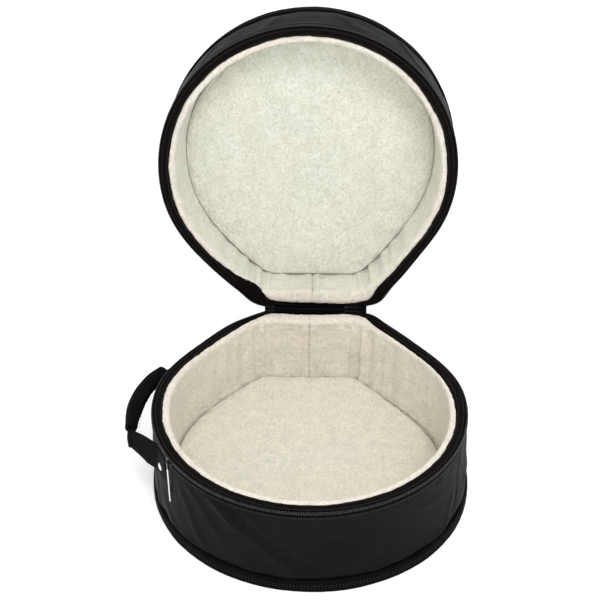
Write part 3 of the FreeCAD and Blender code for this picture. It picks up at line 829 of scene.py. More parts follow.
def calm(shell, along, height):
    """Small near the rivets and the zip pull, where the wall lies flat under the hardware."""
    if shell is LID:
        return 1.0
    quiet = np.ones_like(along)
    for bearing, drop, reach in FLAT_SPOTS:
        gap = np.hypot(around(along, OUTLINE.at_angle(bearing)), height + drop * MM)
        quiet *= 1 - 0.9 * np.exp(-((gap / (reach * MM)) ** 4))
    return quiet


def nylon_wall(shell):
    """Outer fabric of one shell's wall, with a turned hem at the zip and a soft swell at the binding."""
    top = -SKIN_DROP
    low = -shell.depth + 2.5 * MM
    cover = -shell.depth + BINDING_HEIGHT
    outer = profile_curve([(0, top), (0, low)], 1.9 * MM)
    inner = profile_curve([(1.4 * MM, low), (1.4 * MM, top)], 8 * MM)
    profile = np.concatenate([outer, inner])

    def drape(along, inset, height):
        points = laid(along, height)
        hem = smooth_step(height, top - 5.2 * MM, top - 3.8 * MM)
        free = smooth_step(-height, -top + 2 * MM, -top + 14 * MM)
        free = free * smooth_step(height, cover - 3 * MM, cover + 10 * MM)
        tuck = smooth_step(height, cover - 1 * MM, cover + 5 * MM)
        swell = shell.swell * smooth_step(-height, 0, shell.depth - BINDING_HEIGHT - 6 * MM) * tuck
        ripple = noise(points, 22 * MM, 3) * bump(height, cover + 4 * MM, 6 * MM) * 1.3 * MM
        behind = smooth_step(np.abs(around(along, 0)), 80 * MM, 120 * MM)
        broad = layered_noise(points * np.array([1, 1.6, 1]), 70 * MM, 21, 3) * 1.3 * MM
        fine = layered_noise(points * np.array([1.6, 0.8, 1]), 16 * MM, 25, 2) * 0.22 * MM
        edge = layered_noise(points, 30 * MM, 29, 2) * 0.35 * MM * hem
        outward = (crease_field(shell, along, height) + broad) * calm(shell, along, height) + fine
        outward = outward * free + (swell + ripple) * behind + edge + hem * 0.45 * MM
        return inset - outward, height

    piece = ring_piece(shell, f"{shell.name}_nylon_wall", profile, 2.1 * MM, drape)
    nodes = (f"{shell.name}_side_panel", f"{shell.name}_side_foam")
    dress(piece, shell.name, "outer_nylon", "nylon", *nodes)
    shell_stitches(shell, "hem_stitches", "outer_nylon", -1.0 * MM, top - 2.6 * MM, 3.4 * MM)


def end_cover(shell):
    """Nylon over a shell's closed end, softly domed where it doesn't rest on the ground."""
    cells = 150
    flat, share, reach = pad_grid(9.0 * MM, cells)
    to_edge = (1 - share) * reach
    face = np.full(share.shape, -shell.depth + 0.9 * MM)
    swell = np.sin(np.clip(to_edge / (120 * MM), 0, 1) * math.pi / 2)
    wrinkle = layered_noise(laid(flat[..., 0], flat[..., 1]), 55 * MM, 61, 3)
    wrinkle = wrinkle * smooth_step(to_edge, 0, 40 * MM)
    face -= shell.dome * swell + shell.dome * 0.35 * wrinkle
    piece = closed_pad(f"{shell.name}_nylon_end", shell, flat, face, -shell.depth + 2.4 * MM, cells)
    dress(piece, shell.name, "outer_nylon", "nylon", f"{shell.name}_{shell.end_cad}")


def edge_binding(shell):
    """Folded tape round the closed end: two soft rolls with a sewn groove between them."""
    far = -BINDING_REACH
    high = -shell.depth + BINDING_HEIGHT
    low = -shell.depth
    middle = (high + low) / 2
    outer = []
    for start, end in ((high, middle + 0.4 * MM), (middle - 0.4 * MM, low)):
        for share in np.linspace(0, 1, 9):
            swell = math.sin(math.pi * share) ** 0.6
            outer.append((far + 1.1 * MM * (1 - swell), start + (end - start) * share))
    head = [(-0.2 * MM, high + 0.2 * MM), (-2.4 * MM, high + 0.6 * MM)]
    foot = [(-2.0 * MM, low), (4 * MM, low), (10 * MM, low)]
    foot += [(10 * MM, low + 1.2 * MM), (-0.2 * MM, low + 1.2 * MM)]
    profile = np.array(head + outer + foot)

    def relax(along, inset, height):
        points = laid(along, height * 3)
        waver = layered_noise(points, 34 * MM, 71, 2) * 0.45 * MM
        ripple = np.sin(along / (2.6 * MM) + height * 900) * 0.06 * MM
        outside = smooth_step(-inset, 0, 3 * MM)
        lifted = height + noise(points, 26 * MM, 73) * 0.6 * MM * outside * (height > middle)
        return inset - (waver + ripple) * outside, lifted

    piece = ring_piece(shell, f"{shell.name}_binding", profile, 2.0 * MM, relax)
    dress(piece, shell.name, "edge_tape", "binding", f"{shell.name}_edge_binding")
    for label, height in (("upper", middle + 1.4 * MM), ("lower", middle - 1.4 * MM)):
        name = f"binding_stitches_{label}"
        shell_stitches(shell, name, "edge_tape", far + 0.25 * MM, height, 4.2 * MM)


def rim_facing(shell):
    """Crowned black tape over the padding at the rim, sewn near both edges."""
    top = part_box("base_rim_facing")[1].z - BASE_HEIGHT
    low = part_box("base_rim_facing")[0].z - BASE_HEIGHT
    near = FACING_INSET
    far = PILE_INSET
    profile = [(near - 0.7 * MM, low - 5 * MM), (near - 0.5 * MM, top - 0.6 * MM)]
    for s in np.linspace(0, 1, 12):
        profile.append((near + (far - near) * s, top + 0.75 * MM * math.sin(math.pi * s) ** 0.8))
    profile = np.array(profile + [(far, low), (near, low)])

    def relax(along, inset, height):
        points = laid(along, inset)
        up = smooth_step(height, low, top)
        inset = near + (inset - near) * (pile_edge(shell, along) - near) / (far - near)
        soft = layered_noise(points, 26 * MM, 81, 2) * 0.35 * MM * up
        pulled = np.sin(along / (1.35 * MM)) * 0.05 * MM * up
        return inset, height + soft + pulled

    piece = ring_piece(shell, f"{shell.name}_rim_tape", profile, 1.6 * MM, relax)
    dress(piece, shell.name, "edge_tape", "rim", f"{shell.name}_rim_facing")
    span = (130 * MM, OUTLINE.length - 130 * MM)
    for label, inset in (("outer", near + 2.2 * MM), ("inner", far - 1.8 * MM)):
        name = f"rim_stitches_{label}"
        shell_stitches(shell, name, "edge_tape", inset, top + 0.55 * MM, 3.6 * MM, span, upward=True)


def zip_span():
    return ZIP_HALF_GAP - 1 * MM, OUTLINE.length - ZIP_HALF_GAP + 1 * MM


def zip_tape(shell):
    """Woven zip tape behind the coil, with a raised cord along the coil's foot."""
    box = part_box("base_zip_tape")
    top = box[1].z - BASE_HEIGHT
    low = box[0].z - BASE_HEIGHT
    near = TAPE_INSET
    outer = profile_curve([(near, top), (near, low)], 0.8 * MM)
    ribbed = [(x - 0.28 * MM * bump(z, -6.3 * MM, 0.5 * MM), z) for x, z in outer]
    profile = np.array(ribbed + [(near + 0.8 * MM, low), (near + 0.8 * MM, top)])
    piece = ring_piece(shell, f"{shell.name}_zip_tape_woven", profile, 2.4 * MM, None, zip_span())
    dress(piece, shell.name, "zip_tape", "tape", f"{shell.name}_zip_tape")


def zip_coil(shell):
    """Nylon coil wound along the edge of the tape, one turn to each tooth."""
    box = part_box("base_zip_coil")
    top = box[1].z - BASE_HEIGHT
    low = box[0].z - BASE_HEIGHT
    near = MAIN_RADIUS - box[1].x
    far = MAIN_RADIUS - box[0].x if box[0].x > 0 else 1.4 * MM
    wire = 0.58 * MM
    pitch = 2.9 * MM
    start, end = zip_span()
    turns = int((end - start) / pitch)
    phase = np.arange(turns * 12 + 1) / 12 * TAU
    along = start + phase / TAU * pitch
    depth = (far - near) / 2 - wire
    rise = (top - low) / 2 - wire
    inset = (near + far) / 2 + depth * np.cos(phase)
    height = (top + low) / 2 + rise * np.sin(phase)
    flat, normals = OUTLINE.at(along)
    path = np.concatenate([flat - normals * inset[:, None], height[:, None]], axis=1)
    hint = np.concatenate([unit(np.gradient(flat, axis=0)), np.zeros((len(path), 1))], axis=1)
    turn = np.linspace(0, TAU, 6, endpoint=False)
    loop = np.stack([wire * np.cos(turn), wire * np.sin(turn)], -1)
    points, faces = tube(path, path_frames(path, hint), loop)
    piece = make_mesh(f"{shell.name}_coil", set_in_place(shell, points.reshape(-1, 3)), faces)
    dress(piece, shell.name, "zip_coil", "coil", f"{shell.name}_zip_coil")
    turn = np.linspace(0, TAU, 10, endpoint=False)
    across = (near + far) / 2 + 0.45 * MM * np.cos(turn)
    core = np.stack([across, (top + low) / 2 - 1.7 * MM * np.sin(turn)], -1)
    cord = ring_piece(shell, f"{shell.name}_coil_cord", core, 3 * MM, None, zip_span())
    dress(cord, shell.name, "zip_coil", "tape")


def hinge_fabric():
    """Doubled fabric joining the two back walls, bent once about the hinge axis. Its ends follow the
    two shells round into their corners."""
    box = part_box("hinge_panel")
    leg = HINGE_POINT.z - box[0].z
    thickness = 1.0 * MM
    inner = HINGE_POINT.y - HINGE_SIDE - 0.6 * MM
    base_leg = np.linspace(-leg, 0, 14, endpoint=False)
    path = [(-inner, z) for z in base_leg]
    for turn in np.linspace(0, CLOSED_ANGLE, 10):
        path.append((-inner * math.cos(turn), inner * math.sin(turn)))
    end = np.array(path[-1])
    run = np.array([math.sin(CLOSED_ANGLE), math.cos(CLOSED_ANGLE)])
    for step in np.linspace(0, leg, 14)[1:]:
        path.append(tuple(end + run * step))
    path = np.array(path)
    ahead = unit(np.gradient(path, axis=0))
    aside = np.stack([ahead[:, 1], -ahead[:, 0]], -1)
    columns = 75
    across = np.linspace(-HINGE_CLOTH_LEFT, HINGE_CLOTH_RIGHT, columns)
    past = np.clip(np.abs(across) - CORNER_OFFSET, 0, CORNER_RADIUS)
    retreat = CORNER_RADIUS - np.sqrt(CORNER_RADIUS**2 - past**2)
    share = smooth_step(np.arange(len(path)), 11, 25)[:, None]
    inward = (1 - share) * np.array([[-1.0, 0.0]]) + share * np.array([[-run[1], run[0]]])
    points = []
    for sign in (-1, 1):
        for p, n, back in zip(path, aside, inward):
            face = p + n * sign * thickness / 2
            for x, r in zip(across, retreat):
                y, z = face + back * r
                points.append((x, HINGE_POINT.y + y, HINGE_POINT.z + z))
    piece = make_mesh("hinge_fabric", points, sheet_faces(len(path), columns))
    dress(piece, None, "outer_nylon", "binding", "hinge_panel")
    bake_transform(piece)


# ---------------------------------------------------------------- handle

LIFT = math.radians(28)
BOW_CENTRE = np.array([50.0, -174.0]) * MM
BOW_RADIUS = 215 * MM
BOW_FRONT = math.radians(99.5)
BOW_REAR = math.radians(62.3)
GRIP_RADIUS = 10.5 * MM
RIVET_FRONT = math.radians(203)
RIVET_REAR = math.radians(148)
PATCH_MIDDLE = BASE_HEIGHT - 36 * MM
PATCH_HALF = 23.5 * MM


def handle_frame():
    """Origin and the run, outward and over directions of the handle as it hangs at rest."""
    origin = np.array(HANDLE["pos_m"])
    run = np.array(HANDLE["axis"])
    flat_out = np.array([-run[1], run[0], 0.0])
    out = flat_out * math.cos(LIFT) + np.array([0, 0, 1.0]) * math.sin(LIFT)
    return origin, run, out, np.cross(run, out)


def bow_path(start, end, count):
    """Points along the bowed grip from one bow angle to another."""
    origin, run, out, over = handle_frame()
    turn = np.linspace(start, end, count)
    x = BOW_CENTRE[0] + BOW_RADIUS * np.cos(turn)
    y = BOW_CENTRE[1] + BOW_RADIUS * np.sin(turn)
    return origin + x[:, None] * run + y[:, None] * out, over


def grip_cover():
    """Padded sleeve round the handle strap: a soft tube with puckers and a sewn seam underneath."""
    count = 150
    path, over = bow_path(BOW_FRONT, BOW_REAR, count)
    side, up = path_frames(path, over)
    around_it = 56
    turn = np.linspace(0, TAU, around_it, endpoint=False)
    share = np.linspace(0, 1, count)
    end_round = np.minimum(1, np.sqrt(np.clip(np.minimum(share, 1 - share) / 0.022, 0, 1)) * 0.22 + 0.78)
    along, index = grid(share, turn)
    unrolled = np.stack([along * 0.135, np.cos(index) * GRIP_RADIUS, np.sin(index) * GRIP_RADIUS], -1)
    full = 0.78 + 0.36 * smooth_step(share, 0, 0.35) - 0.1 * smooth_step(share, 0.6, 1.0)
    radius = GRIP_RADIUS * (end_round * full)[:, None] * np.ones(around_it)
    inner_side = np.clip(np.cos(index), 0, 1)
    pucker = np.sin(along * 150 + 2.2 * np.sin(along * 23)) * inner_side**2
    radius = radius + 0.30 * MM * pucker
    radius += 0.75 * MM * layered_noise(unrolled, 22 * MM, 5, 3)
    seam = bump(np.abs(index - math.pi), math.pi, 0.16)
    radius -= 0.9 * MM * seam
    flatten = 1 - 0.07 * np.cos(2 * index)
    ring = np.stack([radius * flatten * np.cos(index), radius / flatten * np.sin(index)], -1)
    points = path[:, None] + side[:, None] * ring[..., :1] + up[:, None] * ring[..., 1:]
    faces = grid_faces(count, around_it, False, True)
    last = (count - 1) * around_it
    flat = points.reshape(-1, 3)
    ends = np.array([path[0], path[-1]])
    for k in range(around_it):
        after = (k + 1) % around_it
        faces.append([count * around_it, after, k])
        faces.append([count * around_it + 1, last + k, last + after])
    piece = make_mesh("grip_cover", np.concatenate([flat, ends]), faces)
    dress(piece, "handle", "grip_cover", "grip", "handle_grip")
    pick = np.arange(4, count - 4, 4)
    sewn = (path + side * (GRIP_RADIUS - 0.2 * MM))[pick] + up[pick] * 1.6 * MM
    row = stitch_row("grip_stitches", sewn, unit(np.gradient(path, axis=0)[pick]), side[pick])
    dress(row, "handle", "grip_cover", "thread")


def band(name, centres, wide, out, half_widths, thickness, columns=25):
    """A webbing band along centres: wide is its width direction, out its face direction."""
    rows = len(centres)
    across = np.linspace(-1, 1, columns)
    points = []
    for sign in (-1, 1):
        for k in range(rows):
            edge = (1 - np.abs(across) ** 6) * 0.5 + 0.5
            rise = sign * thickness / 2 * edge
            rib = 0.09 * MM * np.sin(across * half_widths[k] / (0.62 * MM)) * sign
            side = centres[k] + wide[k] * (across * half_widths[k])[:, None]
            points.append(side + out[k] * (rise + rib)[:, None])
    return make_mesh(name, np.concatenate(points), sheet_faces(rows, columns))


def blended(stops, count):
    """A smooth path through stops, each a flat tuple of numbers, by Catmull-Rom pieces."""
    stops = np.array(stops, float)
    padded = np.concatenate([[2 * stops[0] - stops[1]], stops, [2 * stops[-1] - stops[-2]]])
    pieces = []
    for k in range(1, len(padded) - 2):
        a, b, c, d = padded[k - 1 : k + 3]
        t = np.linspace(0, 1, count, endpoint=False)[:, None]
        pieces.append(
            0.5 * (2 * b + (c - a) * t + (2 * a - 5 * b + 4 * c - d) * t**2 + (3 * b - a - 3 * c + d) * t**3)
        )
    return np.concatenate(pieces + [stops[-1:]])


def on_wall(bearing, height, proud):
    radius = MAIN_RADIUS + proud
    return np.array([radius * math.cos(bearing), radius * math.sin(bearing), height])


def handle_end(name, rivet, tip_turn, fold_turn, tail_turn, knee):
    """Webbing end of the handle: a tall patch riveted to the wall, and a tongue that narrows out to a
    knee below the sleeve's end. The turns are degrees round the case from the rivet to where the
    webbing leaves the wall and to its tail. knee is the knee's place along and out from the sleeve's
    end, its drop below it and its half height."""
    _, run, _, _ = handle_frame()
    toward = 1 if fold_turn < 0 else -1
    tip_path, _ = bow_path(tip_turn, tip_turn - 0.02 * toward, 2)
    tip = tip_path[0]
    ahead = unit(tip_path[1] - tip_path[0])
    up = np.array([0, 0, 1.0])
    fold = rivet + math.radians(fold_turn)
    tail = rivet + math.radians(tail_turn)
    stops = []
    for bearing, proud in ((tail, 1.9), ((tail + rivet) / 2, 2.1), (rivet, 2.3), (fold, 2.8)):
        p = on_wall(bearing, PATCH_MIDDLE, proud * MM)
        stops.append(tuple(p) + tuple(up) + (PATCH_HALF,))
    leave = np.array(stops[-1][:3])
    knee_back, knee_out, knee_drop, knee_half = knee
    flat_out = np.array([-run[1], run[0], 0.0])
    knee_at = tip - run * toward * knee_back + flat_out * knee_out - up * knee_drop
    for share in (0.3, 0.65):
        arch = 2.6 * MM * math.sin(math.pi * share)
        p = leave + (knee_at - leave) * share + up * arch
        half = PATCH_HALF + (knee_half - PATCH_HALF) * share + arch / 2
        stops.append(tuple(p) + tuple(up) + (half,))
    stops.append(tuple(knee_at) + tuple(up) + (knee_half,))
    line = blended(stops, 9)
    centres = line[:, :3]
    wide = line[:, 3:6]
    direction = unit(np.gradient(centres, axis=0))
    wide = unit(wide - direction * np.sum(wide * direction, axis=1)[:, None])
    out = np.cross(direction, wide)
    for k in range(1, len(out)):
        out[k] *= 1 if out[k] @ out[k - 1] > 0 else -1
    out *= 1 if out[0] @ on_wall(tail, 0, 0) > 0 else -1
    piece = band(name, centres, wide, out, line[:, 6], 2.1 * MM)
    dress(piece, None, "webbing", "webbing", name.replace("webbing", "handle_end"))
    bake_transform(piece)
    sleeve_fold(name + "_fold", knee_at, knee_half, tip, ahead, leave - knee_at)


def sleeve_fold(name, knee_at, knee_half, tip, ahead, inward):
    """The webbing's folded edge: it stands at the end of the tongue and runs up into the sleeve."""
    stops = []
    for point, half in (
        (knee_at - np.array([0, 0, knee_half * 0.96]), 2.2 * MM),
        (knee_at, 3.0 * MM),
        (tip + ahead * 1 * MM, 4.6 * MM),
        (tip + ahead * 9 * MM, 4.6 * MM),
    ):
        stops.append(tuple(point) + (half,))
    line = blended(stops, 8)
    centres = line[:, :3]
    direction = unit(np.gradient(centres, axis=0))
    wide = unit(inward - direction * (direction @ inward)[:, None])
    piece = band(name, centres, wide, np.cross(direction, wide), line[:, 3], 5.2 * MM, 13)
    dress(piece, "handle", "webbing", "webbing")


def handle_strap():
    """The flat webbing core of the grip, showing at the two ends of the sleeve."""
    extra = 2.5 * MM / BOW_RADIUS
    path, over = bow_path(BOW_FRONT + extra, BOW_REAR - extra, 60)
    side, up = path_frames(path, over)
    piece = band("grip_strap", path, side, up, np.full(len(path), 5 * MM), 3.0 * MM, 17)
    dress(piece, "handle", "webbing", "webbing", "handle_strap")


# ---------------------------------------------------------------- hard parts kept from the frame


def refine(node, material, width):
    """Rounds a CAD part's sharp edges with a bevel and gives it its finish."""
    piece = frame["nodes"][node]
    bevel = piece.modifiers.new("Soft edges", "BEVEL")
    bevel.width = width
    bevel.segments = 3
    bevel.limit_method = "ANGLE"
    bevel.angle_limit = math.radians(40)
    bevel.harden_normals = False
    for slot in piece.material_slots:
        slot.material = materials[material]


# ---------------------------------------------------------------- materials


def linear(colour):
    """Screen colour, 0 to 255, as linear light."""
    return tuple(((c / 255 + 0.055) / 1.055) ** 2.4 if c > 10 else c / 255 / 12.92 for c in colour) + (1.0,)


class Nodes:
    """Short hand for building one material's node tree."""

    def __init__(self, name):
        self.material = bpy.data.materials.new(name)
        self.material.use_nodes = True
        self.tree = self.material.node_tree
        self.shader = self.tree.nodes["Principled BSDF"]
        self.place = self.add("ShaderNodeTexCoord").outputs["Object"]

    def add(self, kind, **inputs):
        node = self.tree.nodes.new(kind)
        for name, value in inputs.items():
            self.put(node.inputs[name.replace("_", " ")], value)
        return node

    def put(self, socket, value):
        if isinstance(value, bpy.types.NodeSocket):
            self.tree.links.new(value, socket)
        else:
            socket.default_value = value

    def set(self, **inputs):
        for name, value in inputs.items():
            self.put(self.shader.inputs[name.replace("_", " ")], value)

    def math(self, operation, a, b=0.0):
        node = self.tree.nodes.new("ShaderNodeMath")
        node.operation = operation
        self.put(node.inputs[0], a)
        self.put(node.inputs[1], b)
        return node.outputs[0]

    def cloud(self, scale, detail=3.0, rough=0.55):
        node = self.add("ShaderNodeTexNoise", Scale=scale, Detail=detail, Roughness=rough, Vector=self.place)
        return node.outputs["Fac"]

    def ramp(self, value, low, high, to_low=0.0, to_high=1.0):
        node = self.add("ShaderNodeMapRange")
        for name, number in (("From Min", low), ("From Max", high), ("To Min", to_low), ("To Max", to_high)):
            node.inputs[name].default_value = number
        self.put(node.inputs["Value"], value)
        return node.outputs["Result"]

    def mix(self, share, a, b):
        node = self.tree.nodes.new("ShaderNodeMix")
        node.data_type = "RGBA"
        self.put(node.inputs["Factor"], share)
        self.put([s for s in node.inputs if s.name == "A" and s.type == "RGBA"][0], a)
        self.put([s for s in node.inputs if s.name == "B" and s.type == "RGBA"][0], b)
        return [s for s in node.outputs if s.type == "RGBA"][0]

    def tone(self, value, low, high, dark, light):
        """Runs between two screen colours as a value rises from low to high."""
        return self.mix(self.ramp(value, low, high), linear(dark), linear(light))

    def attribute(self, name):
        node = self.tree.nodes.new("ShaderNodeAttribute")
        node.attribute_name = name
        return node.outputs["Fac"]

    def bump(self, height, distance, strength=1.0, normal=None):
        node = self.add("ShaderNodeBump", Height=height, Distance=distance, Strength=strength)
        if normal is not None:
            self.put(node.inputs["Normal"], normal)
        return node.outputs["Normal"]


def nylon():
    """Matt black nylon: a fine weave with faint slubs, large warmer patches at random, and a roughness that
    varies in worn patches.
    """
    nodes = Nodes("nylon")
    weave = nodes.cloud(2600, 2, 0.6)
    slub = nodes.cloud(90, 4)
    wear = nodes.cloud(14, 3)
    warm = nodes.cloud(5, 2)
    base = nodes.tone(slub, 0.3, 0.7, (14, 14, 15), (19, 19, 19))
    tinted = nodes.mix(nodes.ramp(warm, 0.45, 0.75, 0, 0.5), base, linear((20, 17, 15)))
    nodes.set(Base_Color=tinted, Roughness=nodes.ramp(wear, 0.3, 0.7, 0.5, 0.64))
    nodes.set(Specular_IOR_Level=0.05)
    soft = nodes.bump(slub, 0.0003, 0.35)
    nodes.set(Normal=nodes.bump(weave, 0.00012, 0.5, soft))
    return nodes.material


def fleece():
    """Sherpa fleece: pale tufts, with painted shade between them, in the hollows of the curls, along the
    seams and low in the well, a pinkish painted highlight on the rim's top, and a cooler tint on the lid.
    """
    nodes = Nodes("fleece")
    pile = nodes.attribute("pile")
    seam = nodes.attribute("seam")
    rim = nodes.attribute("rim")
    curl = nodes.cloud(820, 3, 0.6)
    fibre = nodes.cloud(1500, 3, 0.6)
    patch = nodes.cloud(9, 3)
    rim_highlight_noise = nodes.cloud(16, 3)
    height = nodes.add("ShaderNodeSeparateXYZ", Vector=nodes.place).outputs["Z"]
    warm = nodes.tone(patch, 0.35, 0.65, (244, 240, 224), (246, 237, 221))
    cool = nodes.tone(patch, 0.35, 0.65, (238, 240, 228), (243, 240, 227))
    # Painted shade: low in the well, near the floor, the fleece is darker and warmer.
    floor_shade = nodes.tone(patch, 0.35, 0.65, (238, 233, 216), (240, 230, 213))
    warm = nodes.mix(nodes.ramp(height, 16 * MM, 34 * MM), floor_shade, warm)
    light = nodes.mix(nodes.ramp(height, BASE_HEIGHT, BASE_HEIGHT + 30 * MM), warm, cool)
    # Painted highlight: the lit top of the fleece rim turns lighter and pinkish in patches.
    rim_highlight = nodes.math("MULTIPLY", rim, nodes.ramp(rim_highlight_noise, 0.35, 0.7, 0.3, 1.0))
    light = nodes.mix(rim_highlight, light, linear((250, 236, 226)))
    # Painted shade between the tufts, where the pile is low.
    shade = nodes.mix(nodes.ramp(pile, 0.15, 1.1, 0.6, 0.0), light, linear((193, 192, 175)))
    # Painted shade in the hollows of the curls, where the curl bump is low.
    shade = nodes.mix(nodes.ramp(curl, 0.4, 0.56, 0.5, 0.0), shade, linear((182, 181, 164)))
    # Painted shade in the seams' crevices, broken up in places.
    seam_shade_breaks = nodes.ramp(nodes.cloud(260, 3), 0.4, 0.58, 0.15, 1.0)
    dark = nodes.math("MULTIPLY", seam, nodes.math("MULTIPLY", seam_shade_breaks, 0.85))
    shade = nodes.mix(dark, shade, linear((92, 88, 72)))
    nodes.set(Base_Color=shade, Roughness=0.95, Sheen_Weight=0.35, Sheen_Roughness=0.6)
    nodes.set(Specular_IOR_Level=0.12)
    soft = nodes.bump(curl, 0.0016, 0.9)
    nodes.set(Normal=nodes.bump(fibre, 0.0004, 0.5, soft))
    return nodes.material


def surface(name, mottle, rubbed, *bumps, **settings):
    """A mottled finish. mottle is a noise scale and detail, the two levels that its tone runs between
    and its two screen colours. rubbed is a noise scale and detail and two roughnesses. Each bump is a
    noise scale and detail, a depth and a strength."""
    nodes = Nodes(name)
    scale, detail, low, high, dark, light = mottle
    colour = nodes.tone(nodes.cloud(scale, detail), low, high, dark, light)
    scale, detail, smooth, rough = rubbed
    nodes.set(Base_Color=colour, Roughness=nodes.ramp(nodes.cloud(scale, detail), 0.3, 0.7, smooth, rough))
    normal = None
    for scale, detail, distance, strength in bumps:
        normal = nodes.bump(nodes.cloud(scale, detail), distance, strength, normal)
    nodes.set(Normal=normal, **settings)
    return nodes.material


def foam():
    """Closed-cell foam: fine pits and a faint mottle."""
    mottle = (40, 3, 0.35, 0.65, (84, 84, 88), (98, 98, 101))
    return surface("foam", mottle, (900, 3, 0.9, 0.9), (900, 3, 0.0003, 0.7))


def tape(name, dark, light, roughness, ribs):
    """Ribbed narrow tape: fine cross ribs, a touch of lint, lighter spots at random and an uneven, rubbed
    roughness.
    """
    mottle = (60, 3, 0.35, 0.7, dark, light)
    rubbed = (1500, 3, roughness - 0.08, roughness + 0.08)
    bumps = ((ribs, 1, 0.0003, 0.5), (1500, 3, 0.0002, 0.5))
    return surface(name, mottle, rubbed, *bumps, Specular_IOR_Level=0.05)


def coil_plastic():
    """Grey plastic of the zip coil, lighter in places at random."""
    mottle = (240, 3, 0.4, 0.7, (34, 37, 36), (62, 66, 64))
    return surface("coil_plastic", mottle, (240, 3, 0.28, 0.42), (1800, 2, 0.00008, 0.4))


def metal(name, colour, roughness):
    """Brushed metal or enamel with a little tarnish."""
    nodes = Nodes(name)
    brushed = nodes.cloud(700, 4, 0.7)
    tarnish = nodes.cloud(60, 3)
    dull = linear(tuple(c * 0.82 for c in colour))
    tone = nodes.mix(nodes.ramp(tarnish, 0.3, 0.8, 0, 0.4), linear(colour), dull)
    nodes.set(Base_Color=tone, Metallic=1.0)
    nodes.set(Roughness=nodes.ramp(brushed, 0.3, 0.7, roughness - 0.06, roughness + 0.08))
    nodes.set(Normal=nodes.bump(brushed, 0.00005, 0.4))
    return nodes.material


def pull_metal():
    """Nickel pull whose neck is black like the slider: enamel, and painted shade where the neck hangs in the
    dark under the rim.
    """
    nodes = Nodes("pull_metal")
    split = nodes.add("ShaderNodeSeparateXYZ", Vector=nodes.place).outputs["Z"]
    wear = nodes.cloud(300, 3)
    edge = nodes.math("ADD", split, nodes.math("MULTIPLY", wear, 0.0006))
    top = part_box("zip_pull")[1].z - 14 * MM
    neck = nodes.ramp(edge, top, top + 0.4 * MM)
    # Black neck: enamel like the slider, and painted shade under the rim.
    colour = nodes.mix(neck, linear((236, 234, 229)), linear((24, 24, 25)))
    nodes.set(Base_Color=colour, Metallic=nodes.ramp(neck, 0, 1, 1.0, 0.2))
    nodes.set(Roughness=nodes.ramp(wear, 0.3, 0.7, 0.16, 0.28))
    nodes.set(Normal=nodes.bump(nodes.cloud(900, 3), 0.00004, 0.4))
    return nodes.material


def thread():
    """Twisted sewing thread."""
    mottle = (3000, 2, 0.35, 0.65, (24, 24, 24), (46, 46, 45))
    return surface("thread", mottle, (3000, 2, 0.6, 0.6), (3000, 2, 0.0001, 0.6))


def backdrop_paper():
    """Pale paper that glows a little, so that it reads as a white floor."""
    nodes = Nodes("backdrop_paper")
    tone = nodes.cloud(3, 2)
    nodes.set(Base_Color=nodes.mix(tone, (0.93, 0.93, 0.93, 1), (0.96, 0.96, 0.96, 1)), Roughness=0.9)
    nodes.set(Emission_Color=(1, 1, 1, 1), Emission_Strength=0.22)
    return nodes.material


materials = {
    "nylon": nylon(),
    "fleece": fleece(),
    "foam": foam(),
    "binding": tape("binding_tape", (5, 5, 4), (11, 10, 9), 0.78, 400),
    "rim": tape("rim_tape", (9, 6, 5), (15, 10, 9), 0.74, 700),
    "tape": tape("zip_tape_weave", (8, 8, 8), (14, 13, 13), 0.8, 500),
    "webbing": tape("webbing_weave", (9, 8, 8), (16, 14, 13), 0.7, 420),
    "grip": tape("grip_fabric", (5, 4, 4), (11, 9, 9), 0.74, 300),
    "coil": coil_plastic(),
    "thread": thread(),
    "nickel": metal("nickel", (232, 230, 224), 0.2),
    "slider": metal("black_enamel", (52, 52, 54), 0.34),
    "pull": pull_metal(),
}

# ---------------------------------------------------------------- build

for shell in (BASE, LID):
    nylon_wall(shell)
    end_cover(shell)
    edge_binding(shell)
    rim_facing(shell)
    zip_tape(shell)
    zip_coil(shell)
    fleece_wall(shell)
    fleece_pad(shell)
    refine(f"{shell.name}_zip_stops", "coil", 0.3 * MM)
refine("base_bottom_foam", "foam", 0.6 * MM)
refine("lid_top_foam", "foam", 0.6 * MM)
hinge_fabric()
grip_cover()
handle_strap()
handle_end("webbing_front", RIVET_FRONT, BOW_FRONT, -3.2, 5.6, (1.5 * MM, 3 * MM, 14 * MM, 15.5 * MM))
handle_end("webbing_rear", RIVET_REAR, BOW_REAR, 5.0, -5.6, (1 * MM, 0.0, 8 * MM, 7 * MM))
refine("handle_rivets", "nickel", 0.4 * MM)
refine("rivet_washers", "nickel", 0.2 * MM)
refine("zip_slider", "slider", 0.25 * MM)
refine("zip_pull", "pull", 0.45 * MM)

# ---------------------------------------------------------------- stage, light and camera


def backdrop():
    """A pale floor that curves up behind the case."""
    profile = [(-3.0, 0.0), (1.2, 0.0)]
    for turn in np.linspace(0, math.pi / 2, 16):
        profile.append((1.2 + 1.2 * math.sin(turn), 1.2 - 1.2 * math.cos(turn)))
    profile.append((2.4, 5.0))
    points = [(x, y, z - 0.0002) for y, z in profile for x in (-5.0, 5.0)]
    faces = [[2 * k, 2 * k + 1, 2 * k + 3, 2 * k + 2] for k in range(len(profile) - 1)]
    piece = make_mesh("backdrop", points, faces)
    piece.data.materials.append(backdrop_paper())


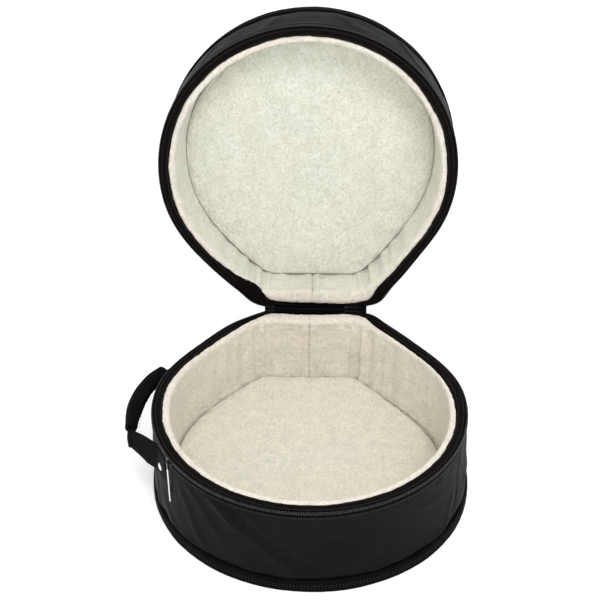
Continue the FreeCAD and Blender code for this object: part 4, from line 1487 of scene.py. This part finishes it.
def area_light(name, place_at, target, size, power):
    data = bpy.data.lights.new(name, "AREA")
    data.shape = "DISK"
    data.size = size
    data.energy = power
    lamp = bpy.data.objects.new(name, data)
    lamp.location = place_at
    lamp.rotation_euler = (Vector(target) - Vector(place_at)).to_track_quat("-Z", "Y").to_euler()
    bpy.context.scene.collection.objects.link(lamp)


def world_light(strength):
    """Even white light all round. What the camera itself sees of it is plain white."""
    world = bpy.data.worlds.new("studio")
    world.use_nodes = True
    background = world.node_tree.nodes["Background"]
    background.inputs["Color"].default_value = (1.0, 1.0, 1.0, 1.0)
    background.inputs["Strength"].default_value = strength
    links = world.node_tree.links
    paper = world.node_tree.nodes.new("ShaderNodeBackground")
    paper.inputs["Color"].default_value = (1.0, 1.0, 1.0, 1.0)
    paper.inputs["Strength"].default_value = 1.0
    seen = world.node_tree.nodes.new("ShaderNodeLightPath")
    either = world.node_tree.nodes.new("ShaderNodeMixShader")
    links.new(seen.outputs["Is Camera Ray"], either.inputs[0])
    links.new(background.outputs[0], either.inputs[1])
    links.new(paper.outputs[0], either.inputs[2])
    links.new(either.outputs[0], world.node_tree.nodes["World Output"].inputs["Surface"])
    bpy.context.scene.world = world


def camera():
    """Looks down at the middle of the base's rim from the front."""
    target = Vector((0, -4 * MM, BASE_HEIGHT))
    elevation = math.radians(39.75)
    azimuth = math.radians(-0.2)
    distance = 1.66
    level = math.cos(elevation)
    back = Vector((math.sin(azimuth) * level, -math.cos(azimuth) * level, math.sin(elevation)))
    data = bpy.data.cameras.new("camera")
    data.sensor_width = 36
    data.lens = 74.2
    data.shift_x = -0.0150
    data.shift_y = 0.1755
    view = bpy.data.objects.new("camera", data)
    view.location = target + back * distance
    roll = Matrix.Rotation(math.radians(0.6), 3, back)
    view.rotation_euler = (roll @ back.to_track_quat("Z", "Y").to_matrix()).to_euler()
    bpy.context.scene.collection.objects.link(view)
    bpy.context.scene.camera = view


backdrop()
world_light(0.82)
area_light("key", (0.45, -1.3, 2.3), (0, 0.1, 0.1), 1.0, 27)
area_light("fill", (-0.9, -2.2, 1.3), (0, 0.1, 0.2), 1.6, 8)
area_light("top", (-0.3, 0.1, 2.6), (0, 0.1, 0.1), 1.6, 5.5)
camera()
bpy.context.scene.view_settings.view_transform = "Standard"
